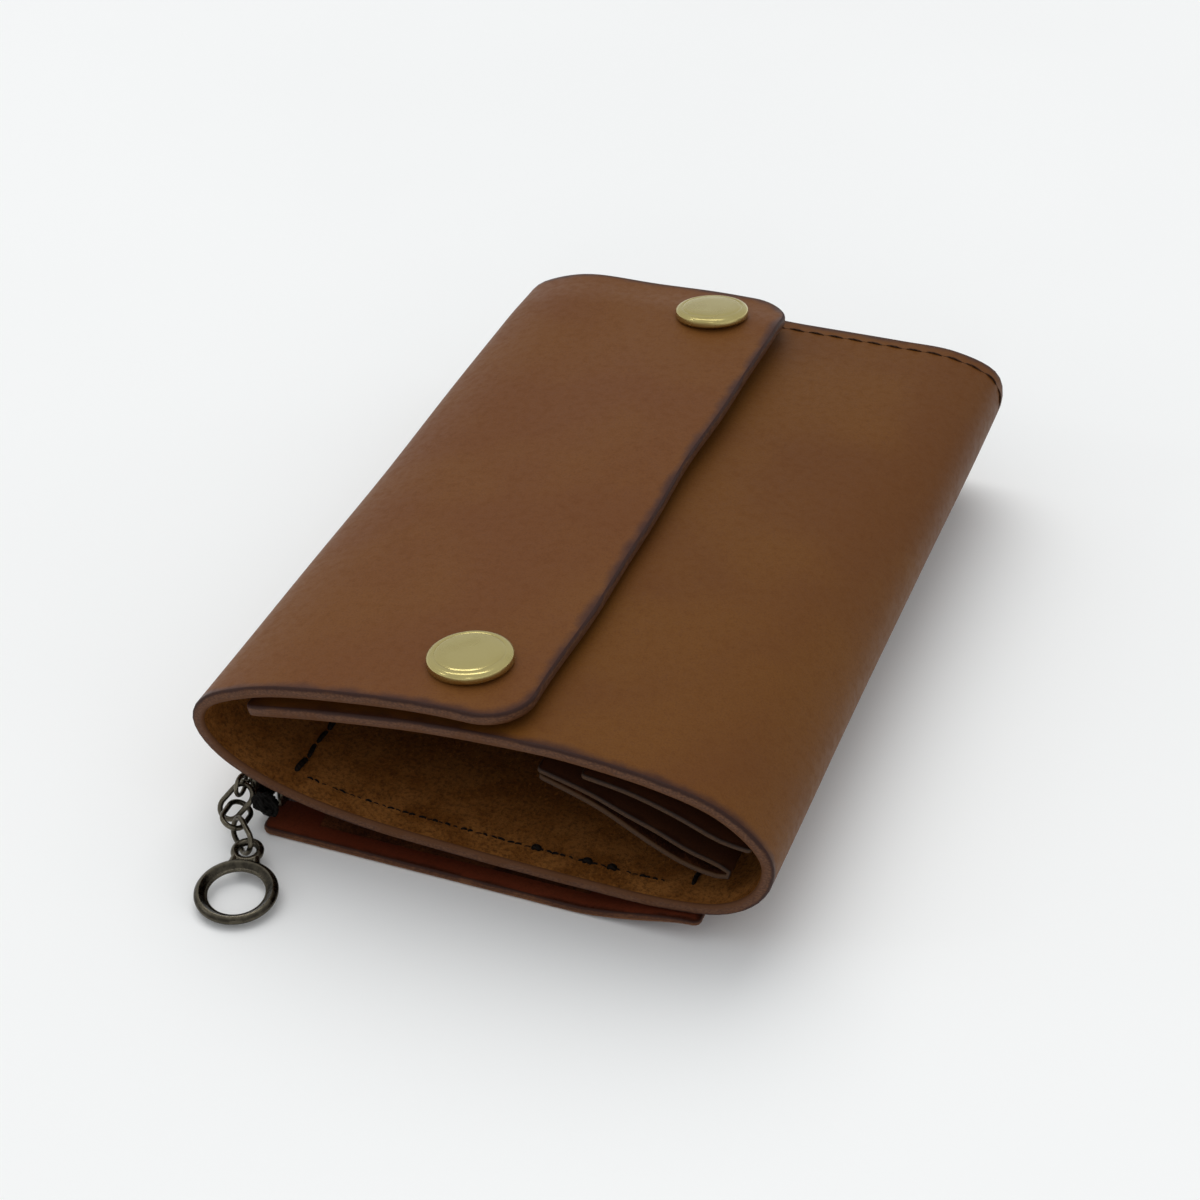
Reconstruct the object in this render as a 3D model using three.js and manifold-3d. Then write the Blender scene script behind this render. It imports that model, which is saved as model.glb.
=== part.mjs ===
// A folding leather case for keys and cards, closed by two snaps, with a zipped pocket under its back
// panel and a ring on a short chain as the zip's pull.
// Frame: millimetres, +Z up, +Y along the case, away from the end where the pull hangs, +X towards the
// front panel's fold. The origin is the middle of the flat underside, which rests on the table.
import * as THREE from "three";
import { mergeVertices } from "three/addons/utils/BufferGeometryUtils.js";
import Module from "manifold-3d";

const wasm = await Module();
wasm.setup();

// ---------------------------------------------------------------- driving dimensions
const LENGTH = 155; // the case along Y
const HALF = LENGTH / 2;
const GAP = 0.3; // air between pieces that touch on the real case
const PAST = 2; // how far a cut runs past what it cuts
const BENCH = 400; // larger than the case, for cutting blocks

const HIDE = 2.2; // leather of the shell
const THIN_HIDE = 1; // leather of the card pockets
const POCKET_HIDE = 1.5; // leather of the zipped pocket
const FLAP_CORNER = 9;
const FRONT_CORNER = 1.5;

// The snaps. Depths are under the flap's outer face, along the snap's axis.
const SNAP_X = -5.4; // the snaps' line, across the flap
const SNAP_Y = 63.9; // from the middle to each snap
const CAP = { radius: 7.5, height: 1.9, rim: 1.1, crown: 0.1, barrel: 2 };
const SOCKET = { radius: 5.8, bore: 3.1, top: 1.7, roof: 2.3, bottom: 3.5, chamfer: 0.5 };
const FRONT_TOP = 3.85; // depth of the front panel's outer face
const STUD = {
  flange: 5,
  flangeTop: FRONT_TOP + 0.1,
  flangeLow: FRONT_TOP + 0.6,
  neck: 2.1,
  knob: 2.4,
  knobWidest: 3.1, // depth
  knobTop: 2.6,
};
const POST = { barrel: 1.3, top: 2.8, flange: 4.5, seat: FRONT_TOP + HIDE, thick: 0.7, rounding: 0.3 };

// The zipped pocket's panel is flat, then rises towards the right and gets thinner.
const POCKET = { left: -40.2, flatEnd: 17.6, thinFrom: 30, right: 40.5, rise: 3.3, tip: 0.9, corner: 2.5 };
const POCKET_REACH = 1.3; // past the case's ends
const GUSSET = { hide: 0.8, depth: 7, left: -30.4, right: 20, inset: 1 };

const ZIP_X = -40.6; // the zip's middle line, in the mouth between back panel and pocket
const ZIP_Z = 5.6;
const TEETH = { thick: 2.4, high: 1.95, slit: 0.9, near: -69, far: 74.3 };
// How far each tape stands up behind its teeth, where it bends and how wide it is, from the zip's line.
const TAPE = { thick: 0.5, upperStand: 0.8, lowerStand: 0.7, bend: 1.2, wide: 9.5, near: -71 };
const TAPE_END = { left: -40.2, right: -37.6, near: -77.7, far: -75.4, low: 4.2, high: 6.6, thick: 0.8 };
const STOP = { thick: 3.2, high: 4.4, long: 1.6 };

const SLIDER = {
  near: -74.8,
  far: -65.8,
  plate: 1.1, // thickness of the outer and the inner plate
  outer: ZIP_X - 3.4, // the outer plate's outer face
  inner: ZIP_X + 2.9, // the inner plate's inner face
  outerHigh: 6.3,
  innerHigh: 4.4,
  lip: 0.5,
  lipEnd: ZIP_X - 0.7, // the lips reach over the tapes' edges to here
  tongue: 0.4, // height of the tongue between the two rows of teeth
  tongueLong: 3,
};
const CROWN = { bore: 0.75, wall: 0.35, high: 0.9 }; // the eye on the slider that holds the pull's loop
const LOOP = { radius: 1.85, wire: 0.8, x: -45, y: -75.9, z: 7.3 };
const LINK = { length: 7.9, width: 5, wire: 0.95 };
const RING = { radius: 6.05, wire: 2.3, x: -36.2, y: -95.8, z: 1.85, tilt: 6, heading: 15 };
const LUG = { radius: 2.2, wire: 1.4, reach: 9.4 };

const THREAD_R = 0.4;
const SEAM_INSET = 3.5; // from the case's ends to the stitches
const POCKET_SEAM = { left: -36, right: 37.6, inset: 2.5 };

const point = (x, z) => new THREE.Vector2(x, z);
const vector = (x, y, z) => new THREE.Vector3(x, y, z);

// The outer face of the one long strip of leather, from the flap's free edge round the left fold,
// along the back panel, round the right fold and back to the front panel's free end.
const SHELL_LINE = [
  point(9, 36.4), // 0: flap's free edge
  point(-7.4, 36.3),
  point(-22.2, 34.8),
  point(-36.8, 32.2),
  point(-46.4, 28.6), // 4: hinge line between the upper fold strip and the flap
  point(-50.9, 25.2),
  point(-52.4, 20.9), // 6: hinge line between the two fold strips
  point(-50.6, 16.4),
  point(-45.6, 12.2), // 8: hinge line between the back panel and the lower fold strip
  point(-36.6, 8.6),
  point(-22.4, 6),
  point(-2.4, 4.9),
  point(19.6, 4.4),
  point(33.6, 4.5),
  point(43.6, 6.2),
  point(50, 10.8),
  point(52.4, 17.4), // 16: hinge line between the back and front panels
  point(50.2, 23.2),
  point(42.6, 28.8),
  point(31.6, 31.6),
  point(17.6, 32.9),
  point(7.6, 32.9),
  point(-5.4, 32.3),
  point(-15.4, 31.4),
  point(-29.7, 29.3),
  point(-42, 26.9), // 25: front panel's free end
];
const [FLAP_EDGE, HINGE_TOP, HINGE_SIDE, HINGE_LOW, HINGE_FRONT, FRONT_END] = [0, 4, 6, 8, 16, 25];

// The card pockets behind the front panel: the divider's upper face from right to left, and the outer face
// of the sleeve, one sheet folded at its right edge into two leaves.
const DIVIDER_LINE = [
  point(47.8, 21.5),
  point(42.9, 22.4),
  point(35.6, 25.4),
  point(27.5, 27.8),
  point(19, 29),
];
const SLEEVE_LINE = [
  point(11, 24.9),
  point(21, 21.6),
  point(30.1, 16.8),
  point(36.4, 13.9),
  point(42, 12.7),
  point(44.6, 13.2),
  point(44.8, 14.9),
  point(42.3, 16.3),
  point(37.3, 17.9),
  point(32.1, 20.2),
  point(25.9, 22.4),
  point(20.3, 24.6),
  point(11, 27.2),
];

// Each chain link as it lies: its middle, the way it runs and the way its flat side faces.
const LINKS = [
  [vector(-45.05, -78, 5.15), vector(-0.49, -0.59, -0.64), vector(0, -0.73, 0.68)],
  [vector(-43.9, -80.3, 4.25), vector(0.08, -0.99, 0.1), vector(0.43, 0.13, 0.89)],
  [vector(-40.95, -84.1, 3.5), vector(0.73, -0.66, -0.16), vector(-0.59, -0.73, 0.34)],
];

// ---------------------------------------------------------------- materials
const finish = (color, roughness, metalness = 0) =>
  new THREE.MeshStandardMaterial({ color, roughness, metalness });
const tanLeather = finish(0x87552e, 0.5);
const innerLeather = finish(0x5f3319, 0.65);
const brass = finish(0xc2ad62, 0.28, 1);
const darkMetal = finish(0x4a4842, 0.42, 1);
const blackTape = finish(0x17161a, 0.9);
const blackThread = finish(0x231a16, 0.8);

const model = new THREE.Group();

function add(name, geometry, material) {
  const mesh = new THREE.Mesh(geometry, material);
  mesh.name = name;
  model.add(mesh);
}

// ---------------------------------------------------------------- solids and cuts
// A three.js geometry as a manifold-3d solid.
function solid(geometry) {
  const bare = geometry.clone();
  bare.deleteAttribute("normal");
  bare.deleteAttribute("uv");
  const merged = mergeVertices(bare, 1e-4);
  return new wasm.Manifold(
    new wasm.Mesh({
      numProp: 3,
      vertProperties: merged.attributes.position.array,
      triVerts: new Uint32Array(merged.index.array),
    }),
  );
}

function geometryOf(manifold) {
  const { vertProperties, triVerts } = manifold.getMesh();
  return new THREE.BufferGeometry()
    .setAttribute("position", new THREE.BufferAttribute(vertProperties, 3))
    .setIndex(new THREE.BufferAttribute(triVerts, 1));
}

// A box from its lowest and highest values along each axis.
function block([x0, x1], [y0, y1], [z0, z1]) {
  const box = new THREE.BoxGeometry(x1 - x0, y1 - y0, z1 - z0);
  return solid(box.translate((x0 + x1) / 2, (y0 + y1) / 2, (z0 + z1) / 2));
}

const around = (middle, size) => [middle - size / 2, middle + size / 2];

// A shape drawn in X and Z, run along Y from y0 to y1.
const alongY = (shape, y0 = -HALF, y1 = HALF) =>
  new THREE.ExtrudeGeometry(shape, { depth: y1 - y0, bevelEnabled: false })
    .rotateX(Math.PI / 2)
    .translate(0, y1, 0);

// Points on a smooth line through the given points, with the unit normal on the line's left.
function sample(line, from, to, steps) {
  const curve = new THREE.SplineCurve(line);
  const last = line.length - 1;
  return Array.from({ length: steps + 1 }, (_, i) => {
    const t = (from + ((to - from) * i) / steps) / last;
    const tangent = curve.getTangent(t);
    return { at: curve.getPoint(t), normal: point(-tangent.y, tangent.x) };
  });
}

// The closed outline of a sheet that follows a line, thickened to the line's left.
function sheetShape(stations, thickness) {
  const far = stations.map(({ at, normal }) => at.clone().addScaledVector(normal, thickness));
  return new THREE.Shape([...stations.map(({ at }) => at.clone()), ...far.reverse()]);
}

const sheet = (line, thickness, steps, y0, y1) =>
  alongY(sheetShape(sample(line, 0, line.length - 1, steps), thickness), y0, y1);

// A stretch of the shell between two of its numbered points, stopping just short of each hinge line.
function shellPiece(from, to, steps) {
  const halfSlit = 0.85 * GAP; // kept by each piece on its side of a hinge line
  const margin = (index, inward) => {
    if (index === FLAP_EDGE || index === FRONT_END) return 0;
    const span = SHELL_LINE[index].distanceTo(SHELL_LINE[index + inward]);
    return (inward * halfSlit) / span;
  };
  const stations = sample(SHELL_LINE, from + margin(from, 1), to + margin(to, -1), steps);
  return solid(alongY(sheetShape(stations, HIDE)));
}

// The height and slope of the shell's outer face at x, between two of its points.
function shellAt(x, from, to) {
  const stations = sample(SHELL_LINE, from, to, 200);
  const after = stations.findIndex(
    ({ at }, i) => i > 0 && (stations[i - 1].at.x - x) * (at.x - x) <= 0,
  );
  const [a, b] = [stations[after - 1].at, stations[after].at];
  const rise = (b.y - a.y) / (b.x - a.x);
  return { z: a.y + rise * (x - a.x), slope: Math.atan(rise) };
}

const backUnderside = (x) => shellAt(x, HINGE_LOW, HINGE_FRONT).z;

// A block whose plan is a rectangle with both corners rounded on one side, for trimming a panel's end.
function roundedPlan(xPlain, xRound, radius, half = HALF) {
  const side = Math.sign(xRound - xPlain);
  const plan = new THREE.Shape();
  plan.moveTo(xPlain, -half);
  plan.lineTo(xRound - side * radius, -half);
  plan.quadraticCurveTo(xRound, -half, xRound, -half + radius);
  plan.lineTo(xRound, half - radius);
  plan.quadraticCurveTo(xRound, half, xRound - side * radius, half);
  plan.lineTo(xPlain, half);
  const prism = new THREE.ExtrudeGeometry(plan, { depth: BENCH, bevelEnabled: false, curveSegments: 8 });
  return solid(prism.translate(0, 0, -BENCH / 2));
}

// A solid through matching closed outlines, from the first to the last along +X.
function loft(outlines) {
  const count = outlines[0].length;
  const last = (outlines.length - 1) * count;
  const flat = outlines[0].map(({ y, z }) => point(y, z));
  const cap = THREE.ShapeUtils.triangulateShape(flat, []);
  const index = cap.flatMap(([a, b, c]) => [c, b, a, last + a, last + b, last + c]);
  for (let i = 0; i < last; i += count) {
    for (let k = 0; k < count; k++) {
      const [a, b] = [i + k, i + ((k + 1) % count)];
      index.push(a, b, a + count, b, b + count, a + count);
    }
  }
  return solid(new THREE.BufferGeometry().setFromPoints(outlines.flat()).setIndex(index));
}

const SNAP_SEAT = shellAt(SNAP_X, FLAP_EDGE, HINGE_TOP);

// Moves a geometry made round the Y axis onto a snap's axis: its local up leaves the flap at right angles.
const onSnap = (geometry, y) =>
  geometry.rotateX(Math.PI / 2).rotateY(-SNAP_SEAT.slope).translate(SNAP_X, y, SNAP_SEAT.z);

// A hole on both snap axes, from one depth to another.
function snapHoles(radius, top, bottom) {
  const drill = new THREE.CylinderGeometry(radius, radius, bottom - top, 24);
  const hole = (y) => solid(onSnap(drill.clone().translate(0, -(top + bottom) / 2, 0), y));
  return hole(-SNAP_Y).add(hole(SNAP_Y));
}

// ---------------------------------------------------------------- the shell
function buildShell() {
  const flap = shellPiece(FLAP_EDGE, HINGE_TOP, 16)
    .intersect(roundedPlan(-BENCH, SHELL_LINE[FLAP_EDGE].x, FLAP_CORNER))
    .subtract(snapHoles(CAP.barrel + GAP, -PAST, HIDE + PAST))
    .subtract(snapHoles(SOCKET.radius + GAP, SOCKET.top - GAP, HIDE + PAST));
  add("flap", geometryOf(flap), tanLeather);
  add("flap_fold_upper_strip", geometryOf(shellPiece(HINGE_TOP, HINGE_SIDE, 6)), tanLeather);
  add("flap_fold_lower_strip", geometryOf(shellPiece(HINGE_SIDE, HINGE_LOW, 6)), tanLeather);
  add("back_panel", geometryOf(shellPiece(HINGE_LOW, HINGE_FRONT, 26)), tanLeather);

  const front = shellPiece(HINGE_FRONT, FRONT_END, 26)
    .intersect(roundedPlan(BENCH, SHELL_LINE[FRONT_END].x, FRONT_CORNER))
    .subtract(snapHoles(POST.barrel + GAP, 0, POST.seat + PAST))
    .subtract(snapHoles(POST.flange + GAP, POST.seat - GAP, POST.seat + PAST))
    .subtract(snapHoles(STUD.flange + GAP, 0, STUD.flangeLow + GAP));
  add("front_panel", geometryOf(front), tanLeather);
}

// ---------------------------------------------------------------- the snaps
// A closed piece round a snap's axis, from its radii and depths.
const turned = (profile) =>
  new THREE.LatheGeometry(
    profile.map(([radius, depth]) => new THREE.Vector2(radius, -depth)),
    28,
  );

function buildSnap(label, y) {
  const rim = Array.from({ length: 5 }, (_, i) => {
    const turn = (i / 4) * (Math.PI / 2);
    return [CAP.radius - CAP.rim * (1 - Math.cos(turn)), -CAP.height + CAP.rim * (1 - Math.sin(turn))];
  });
  const cap = [
    [0, SOCKET.roof],
    [CAP.barrel, SOCKET.roof],
    [CAP.barrel, -GAP],
    [CAP.radius - GAP, -GAP],
    ...rim,
    [0, -CAP.height - CAP.crown],
  ];
  add(`snap_cap_${label}`, onSnap(turned(cap), y), brass);

  const socket = [
    [CAP.barrel + GAP, SOCKET.top],
    [CAP.barrel + GAP, SOCKET.roof],
    [SOCKET.bore, SOCKET.roof],
    [SOCKET.bore, SOCKET.bottom],
    [SOCKET.radius - SOCKET.chamfer, SOCKET.bottom],
    [SOCKET.radius, SOCKET.bottom - SOCKET.chamfer],
    [SOCKET.radius, SOCKET.top],
    [CAP.barrel + GAP, SOCKET.top],
  ];
  add(`snap_socket_${label}`, onSnap(turned(socket), y), brass);

  const stud = [
    [POST.barrel + GAP, STUD.flangeLow],
    [STUD.flange, STUD.flangeLow],
    [STUD.flange, STUD.flangeTop],
    [STUD.neck, STUD.flangeTop],
    [STUD.knob, STUD.knobWidest],
    [STUD.neck, STUD.knobTop],
    [POST.barrel + GAP, STUD.knobTop],
    [POST.barrel + GAP, STUD.flangeLow],
  ];
  add(`snap_stud_${label}`, onSnap(turned(stud), y), brass);

  const post = [
    [0, POST.seat + POST.thick],
    [POST.flange - POST.rounding, POST.seat + POST.thick],
    [POST.flange, POST.seat + POST.thick / 2],
    [POST.flange, POST.seat],
    [POST.barrel, POST.seat],
    [POST.barrel, POST.top],
    [0, POST.top],
  ];
  add(`snap_post_${label}`, onSnap(turned(post), y), brass);
}

// ---------------------------------------------------------------- card pockets
function buildCardPockets() {
  const [dividerInset, sleeveInset] = [0.5, 1.5]; // from the case's ends
  const divider = sheet(DIVIDER_LINE, THIN_HIDE, 12, -HALF + dividerInset, HALF - dividerInset);
  add("card_divider", divider, innerLeather);
  const sleeve = sheet(SLEEVE_LINE, THIN_HIDE, 36, -HALF + sleeveInset, HALF - sleeveInset);
  add("card_sleeve", sleeve, innerLeather);
}

// ---------------------------------------------------------------- the zipped pocket under the back panel
const pocketTop = (x) =>
  POCKET_HIDE + POCKET.rise * THREE.MathUtils.smoothstep(x, POCKET.flatEnd, POCKET.right);

function pocketUnderside(x) {
  const thinned = THREE.MathUtils.smoothstep(x, POCKET.thinFrom, POCKET.right);
  return pocketTop(x) - THREE.MathUtils.lerp(POCKET_HIDE, POCKET.tip, thinned);
}

function buildPocketPanel() {
  const steps = 12;
  const rising = Array.from({ length: steps + 1 }, (_, i) =>
    THREE.MathUtils.lerp(POCKET.flatEnd, POCKET.right, i / steps),
  );
  const outline = new THREE.Shape([
    point(POCKET.left, 0),
    ...rising.map((x) => point(x, pocketUnderside(x))),
    ...rising.reverse().map((x) => point(x, pocketTop(x))),
    point(POCKET.left, POCKET_HIDE),
  ]);
  const half = HALF + POCKET_REACH;
  const trim = roundedPlan(BENCH, POCKET.left, POCKET.corner, half);
  const panel = solid(alongY(outline, -half, half)).intersect(trim);
  add("pocket_panel", geometryOf(panel), innerLeather);
}

// A gusset closes one end of the pocket: a thin strip folded inwards along its middle, which fills the
// height between pocket panel and back panel.
function buildGussets() {
  const mouth = -HALF + GUSSET.inset;
  const crease = mouth + GUSSET.depth;
  const outlineAt = (x) => {
    const low = pocketTop(x) + GAP;
    const high = backUnderside(x) - GAP;
    const middle = (low + high) / 2;
    return [
      vector(x, mouth, low),
      vector(x, crease, middle),
      vector(x, mouth, high),
      vector(x, mouth, high - GUSSET.hide),
      vector(x, crease - 2 * GUSSET.hide, middle),
      vector(x, mouth, low + GUSSET.hide),
    ];
  };
  const steps = 10;
  const stations = Array.from({ length: steps + 1 }, (_, i) =>
    THREE.MathUtils.lerp(GUSSET.left, GUSSET.right, i / steps),
  );
  const near = loft(stations.map(outlineAt));
  add("pocket_gusset_near", geometryOf(near), innerLeather);
  add("pocket_gusset_far", geometryOf(near.mirror([0, 1, 0])), innerLeather);
}

function buildZip() {
  const rail = (z) => block(around(ZIP_X, TEETH.thick), [TEETH.near, TEETH.far], [z, z + TEETH.high]);
  const upperLow = ZIP_Z + TEETH.slit / 2;
  const lowerLow = ZIP_Z - TEETH.slit / 2 - TEETH.high;
  add("zip_teeth_upper", geometryOf(rail(upperLow)), darkMetal);
  add("zip_teeth_lower", geometryOf(rail(lowerLow)), darkMetal);

  // Each tape stands up behind its teeth, bends and lies flat against the leather it is sewn to.
  const edge = ZIP_X - TAPE.thick / 2;
  const [bend, middle, end] = [TAPE.bend, TAPE.wide / 2, TAPE.wide].map((reach) => ZIP_X + reach);
  const teethTop = upperLow + TEETH.high;
  const sewnGap = 1.5 * GAP; // under the sloping back panel
  const under = (x) => point(x, backUnderside(x) - sewnGap);
  const behindUpper = [point(edge, teethTop + TAPE.upperStand), point(edge, teethTop + GAP)];
  const upper = [under(end), under(middle), under(bend), ...behindUpper];
  add("zip_tape_upper", sheet(upper, TAPE.thick, 12, TAPE.near, HALF), blackTape);
  const shelf = (x) => point(x, POCKET_HIDE + GAP);
  const behindLower = [point(edge, lowerLow - GAP), point(edge, lowerLow - TAPE.lowerStand)];
  const lower = [...behindLower, shelf(bend), shelf(middle), shelf(end)];
  add("zip_tape_lower", sheet(lower, TAPE.thick, 12, TAPE.near, HALF), blackTape);

  const past = TEETH.far + GAP;
  const stop = block(around(ZIP_X, STOP.thick), [past, past + STOP.long], around(ZIP_Z, STOP.high));
  add("zip_end_stop", geometryOf(stop), darkMetal);
  buildTapeEnd();
}

// The tapes' ends are folded back on themselves where they leave the pocket.
function buildTapeEnd() {
  const { left, right, near, far, low, high, thick } = TAPE_END;
  const middle = (low + high) / 2;
  const turn = (high - low) / 2;
  const back = [point(near, middle), point(near + turn, high), point(far, high)];
  const fold = [point(far, low), point(near + turn, low), ...back];
  const outline = sheetShape(sample(fold, 0, fold.length - 1, 12), -thick);
  const strip = new THREE.ExtrudeGeometry(outline, { depth: right - left, bevelEnabled: false });
  const upright = new THREE.Matrix4().makeBasis(vector(0, 1, 0), vector(0, 0, 1), vector(1, 0, 0));
  add("zip_tape_end", strip.applyMatrix4(upright.setPosition(left, 0, 0)), blackTape);
}

// ---------------------------------------------------------------- slider, chain and ring
// Moves a geometry made round the origin, running along X and facing Z, to its place in space.
function settle(geometry, middle, along, facing) {
  const x = along.clone().normalize();
  const z = facing.clone().addScaledVector(x, -facing.dot(x)).normalize();
  return geometry.applyMatrix4(new THREE.Matrix4().makeBasis(x, z.clone().cross(x), z).setPosition(middle));
}

function buildSlider() {
  const { near, far, plate, outer, inner, outerHigh, innerHigh, lip, lipEnd, tongue, tongueLong } = SLIDER;
  const overlap = 0.1; // of the slider's parts into each other
  const outerIn = outer + plate - overlap;
  const innerIn = inner - plate + overlap;
  const top = ZIP_Z + outerHigh / 2;
  const bottom = ZIP_Z - outerHigh / 2;
  const pin = LOOP.y + LOOP.radius; // the Y of the upright part of the loop, which turns in the crown
  const bar = new THREE.CylinderGeometry(CROWN.bore + CROWN.wall, CROWN.bore + CROWN.wall, CROWN.high, 24);
  const drill = new THREE.CylinderGeometry(CROWN.bore, CROWN.bore, CROWN.high + PAST, 24);
  const upright = (geometry) => solid(geometry.rotateX(Math.PI / 2).translate(LOOP.x, pin, LOOP.z));
  const body = block([outer, outer + plate], [near, far], [bottom, top])
    .add(block([outerIn, lipEnd], [near, far], [top - lip, top]))
    .add(block([outerIn, lipEnd], [near, far], [bottom, bottom + lip]))
    .add(block([inner - plate, inner], [near, far], around(ZIP_Z, innerHigh)))
    .add(block([outerIn, innerIn], [far - tongueLong, far], around(ZIP_Z, tongue)))
    .add(upright(bar))
    .subtract(upright(drill));
  add("zip_slider", geometryOf(body), darkMetal);

  const loop = new THREE.TorusGeometry(LOOP.radius, LOOP.wire / 2, 10, 28);
  settle(loop, vector(LOOP.x, LOOP.y, LOOP.z), vector(0, 0, 1), vector(1, 0, 0));
  add("pull_loop", loop, darkMetal);
}

// A flat oval loop of wire.
function ovalLoop() {
  const r = (LINK.width - LINK.wire) / 2;
  const run = (LINK.length - LINK.width) / 2;
  const turn = (side) => (_, i) => {
    const angle = ((i + 0.5) / 8) * Math.PI - Math.PI / 2;
    return vector(side * (run + r * Math.cos(angle)), side * r * Math.sin(angle), 0);
  };
  const points = [1, -1].flatMap((side) => Array.from({ length: 8 }, turn(side)));
  const path = new THREE.CatmullRomCurve3(points, true, "centripetal");
  return new THREE.TubeGeometry(path, 36, LINK.wire / 2, 8, true);
}

function buildChain() {
  LINKS.forEach(([middle, along, facing], i) => {
    add(`chain_link_${i + 1}`, settle(ovalLoop(), middle, along, facing), darkMetal);
  });
}

// The ring lies on the table, a little raised at the lug that holds the last link.
function buildRing() {
  const heading = THREE.MathUtils.degToRad(90 + RING.heading);
  const tilt = THREE.MathUtils.degToRad(RING.tilt);
  const flat = Math.cos(tilt);
  const along = vector(Math.cos(heading) * flat, Math.sin(heading) * flat, Math.sin(tilt));
  const hoop = new THREE.TorusGeometry(RING.radius, RING.wire / 2, 10, 36);
  const lug = new THREE.TorusGeometry(LUG.radius, LUG.wire / 2, 8, 20).translate(LUG.reach, 0, 0);
  const whole = geometryOf(solid(hoop).add(solid(lug)));
  add("pull_ring", settle(whole, vector(RING.x, RING.y, RING.z), along, vector(0, 0, 1)), darkMetal);
}

// ---------------------------------------------------------------- seam threads
// A tube of thread along points in space.
function thread(name, points, steps) {
  const section = new THREE.Shape();
  section.absarc(0, 0, THREAD_R, 0, 2 * Math.PI);
  const path = new THREE.CatmullRomCurve3(points);
  const geometry = new THREE.ExtrudeGeometry(section, { steps, extrudePath: path, curveSegments: 3 });
  add(name, geometry, blackThread);
}

function buildThreads() {
  const lift = THREAD_R + GAP;
  const y = HALF - SEAM_INSET;
  const ends = 0.6; // of a span of the shell's line, left free at both ends of the front panel's seam
  const onFront = sample(SHELL_LINE, HINGE_FRONT + ends, FRONT_END - ends, 16).map(({ at, normal }) => {
    const p = at.clone().addScaledVector(normal, -lift);
    return vector(p.x, y, p.y);
  });
  thread("front_seam_thread", onFront, 32);

  // The pocket's seam shows on the back panel's inner face.
  const inside = (x) => backUnderside(x) + HIDE + lift + GAP;
  const { left, right, inset } = POCKET_SEAM;
  const across = Array.from({ length: 11 }, (_, i) =>
    THREE.MathUtils.lerp(left + inset, right - inset, i / 10),
  );
  for (const [label, side] of [["near", -1], ["far", 1]]) {
    thread(`pocket_seam_thread_${label}`, across.map((x) => vector(x, side * y, inside(x))), 20);
  }
  for (const [label, x] of [["left", left], ["right", right]]) {
    thread(`pocket_seam_thread_${label}`, [vector(x, -y, inside(x)), vector(x, y, inside(x))], 1);
  }
}

buildShell();
buildSnap("near", -SNAP_Y);
buildSnap("far", SNAP_Y);
buildCardPockets();
buildPocketPanel();
buildGussets();
buildZip();
buildSlider();
buildChain();
buildRing();
buildThreads();

export default model;
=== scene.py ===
"""Looks of a leather snap key case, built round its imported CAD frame.

Lengths are millimetres in this script and metres in Blender; mesh_object() turns one into the other.
"""

import math

import bpy
import numpy as np
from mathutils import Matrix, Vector


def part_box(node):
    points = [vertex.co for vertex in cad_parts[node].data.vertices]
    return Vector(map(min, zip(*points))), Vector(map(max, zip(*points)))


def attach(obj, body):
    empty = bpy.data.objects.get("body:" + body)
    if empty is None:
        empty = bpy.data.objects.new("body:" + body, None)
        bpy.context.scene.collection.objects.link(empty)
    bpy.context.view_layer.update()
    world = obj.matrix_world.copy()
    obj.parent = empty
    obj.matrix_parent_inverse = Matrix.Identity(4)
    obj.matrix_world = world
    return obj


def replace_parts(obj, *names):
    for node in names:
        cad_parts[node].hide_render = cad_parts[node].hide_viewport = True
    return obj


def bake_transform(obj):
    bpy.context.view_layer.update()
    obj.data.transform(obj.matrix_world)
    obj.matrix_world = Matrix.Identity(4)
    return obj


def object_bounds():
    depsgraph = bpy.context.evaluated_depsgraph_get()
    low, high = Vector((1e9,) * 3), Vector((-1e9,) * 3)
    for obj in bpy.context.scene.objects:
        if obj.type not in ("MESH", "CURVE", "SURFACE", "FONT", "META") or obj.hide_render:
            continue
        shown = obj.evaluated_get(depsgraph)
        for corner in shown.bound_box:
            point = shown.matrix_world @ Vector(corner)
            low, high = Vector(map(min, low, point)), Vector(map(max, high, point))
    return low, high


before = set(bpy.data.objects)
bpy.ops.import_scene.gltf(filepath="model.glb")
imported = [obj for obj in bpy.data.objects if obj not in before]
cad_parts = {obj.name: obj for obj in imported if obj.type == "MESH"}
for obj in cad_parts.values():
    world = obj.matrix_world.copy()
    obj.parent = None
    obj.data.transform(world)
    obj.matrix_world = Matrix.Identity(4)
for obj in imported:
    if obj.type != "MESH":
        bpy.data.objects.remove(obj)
cad_low, cad_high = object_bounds()

MM = 0.001
rng = np.random.default_rng(7)

# ---------------------------------------------------------------- driving dimensions
HIDE = 2.2  # leather of the shell
THIN_HIDE = 1.0  # leather of the card pockets
POCKET_HIDE = 1.5  # leather of the zipped pocket
EDGE = 0.55  # radius of the shell's burnished edges
FLAP_CORNER = 9.0
FRONT_CORNER = 1.5
POCKET_CORNER = 1.6
SEAM_INSET = 3.5


def cad_box(node):
    """The lowest and highest corner of a CAD node, in millimetres."""
    return [np.array(corner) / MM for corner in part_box(node)]


case_low, case_high = cad_box("back_panel")
pocket_low, pocket_high = cad_box("pocket_panel")
NEAR, FAR = case_low[1], case_high[1]

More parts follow.
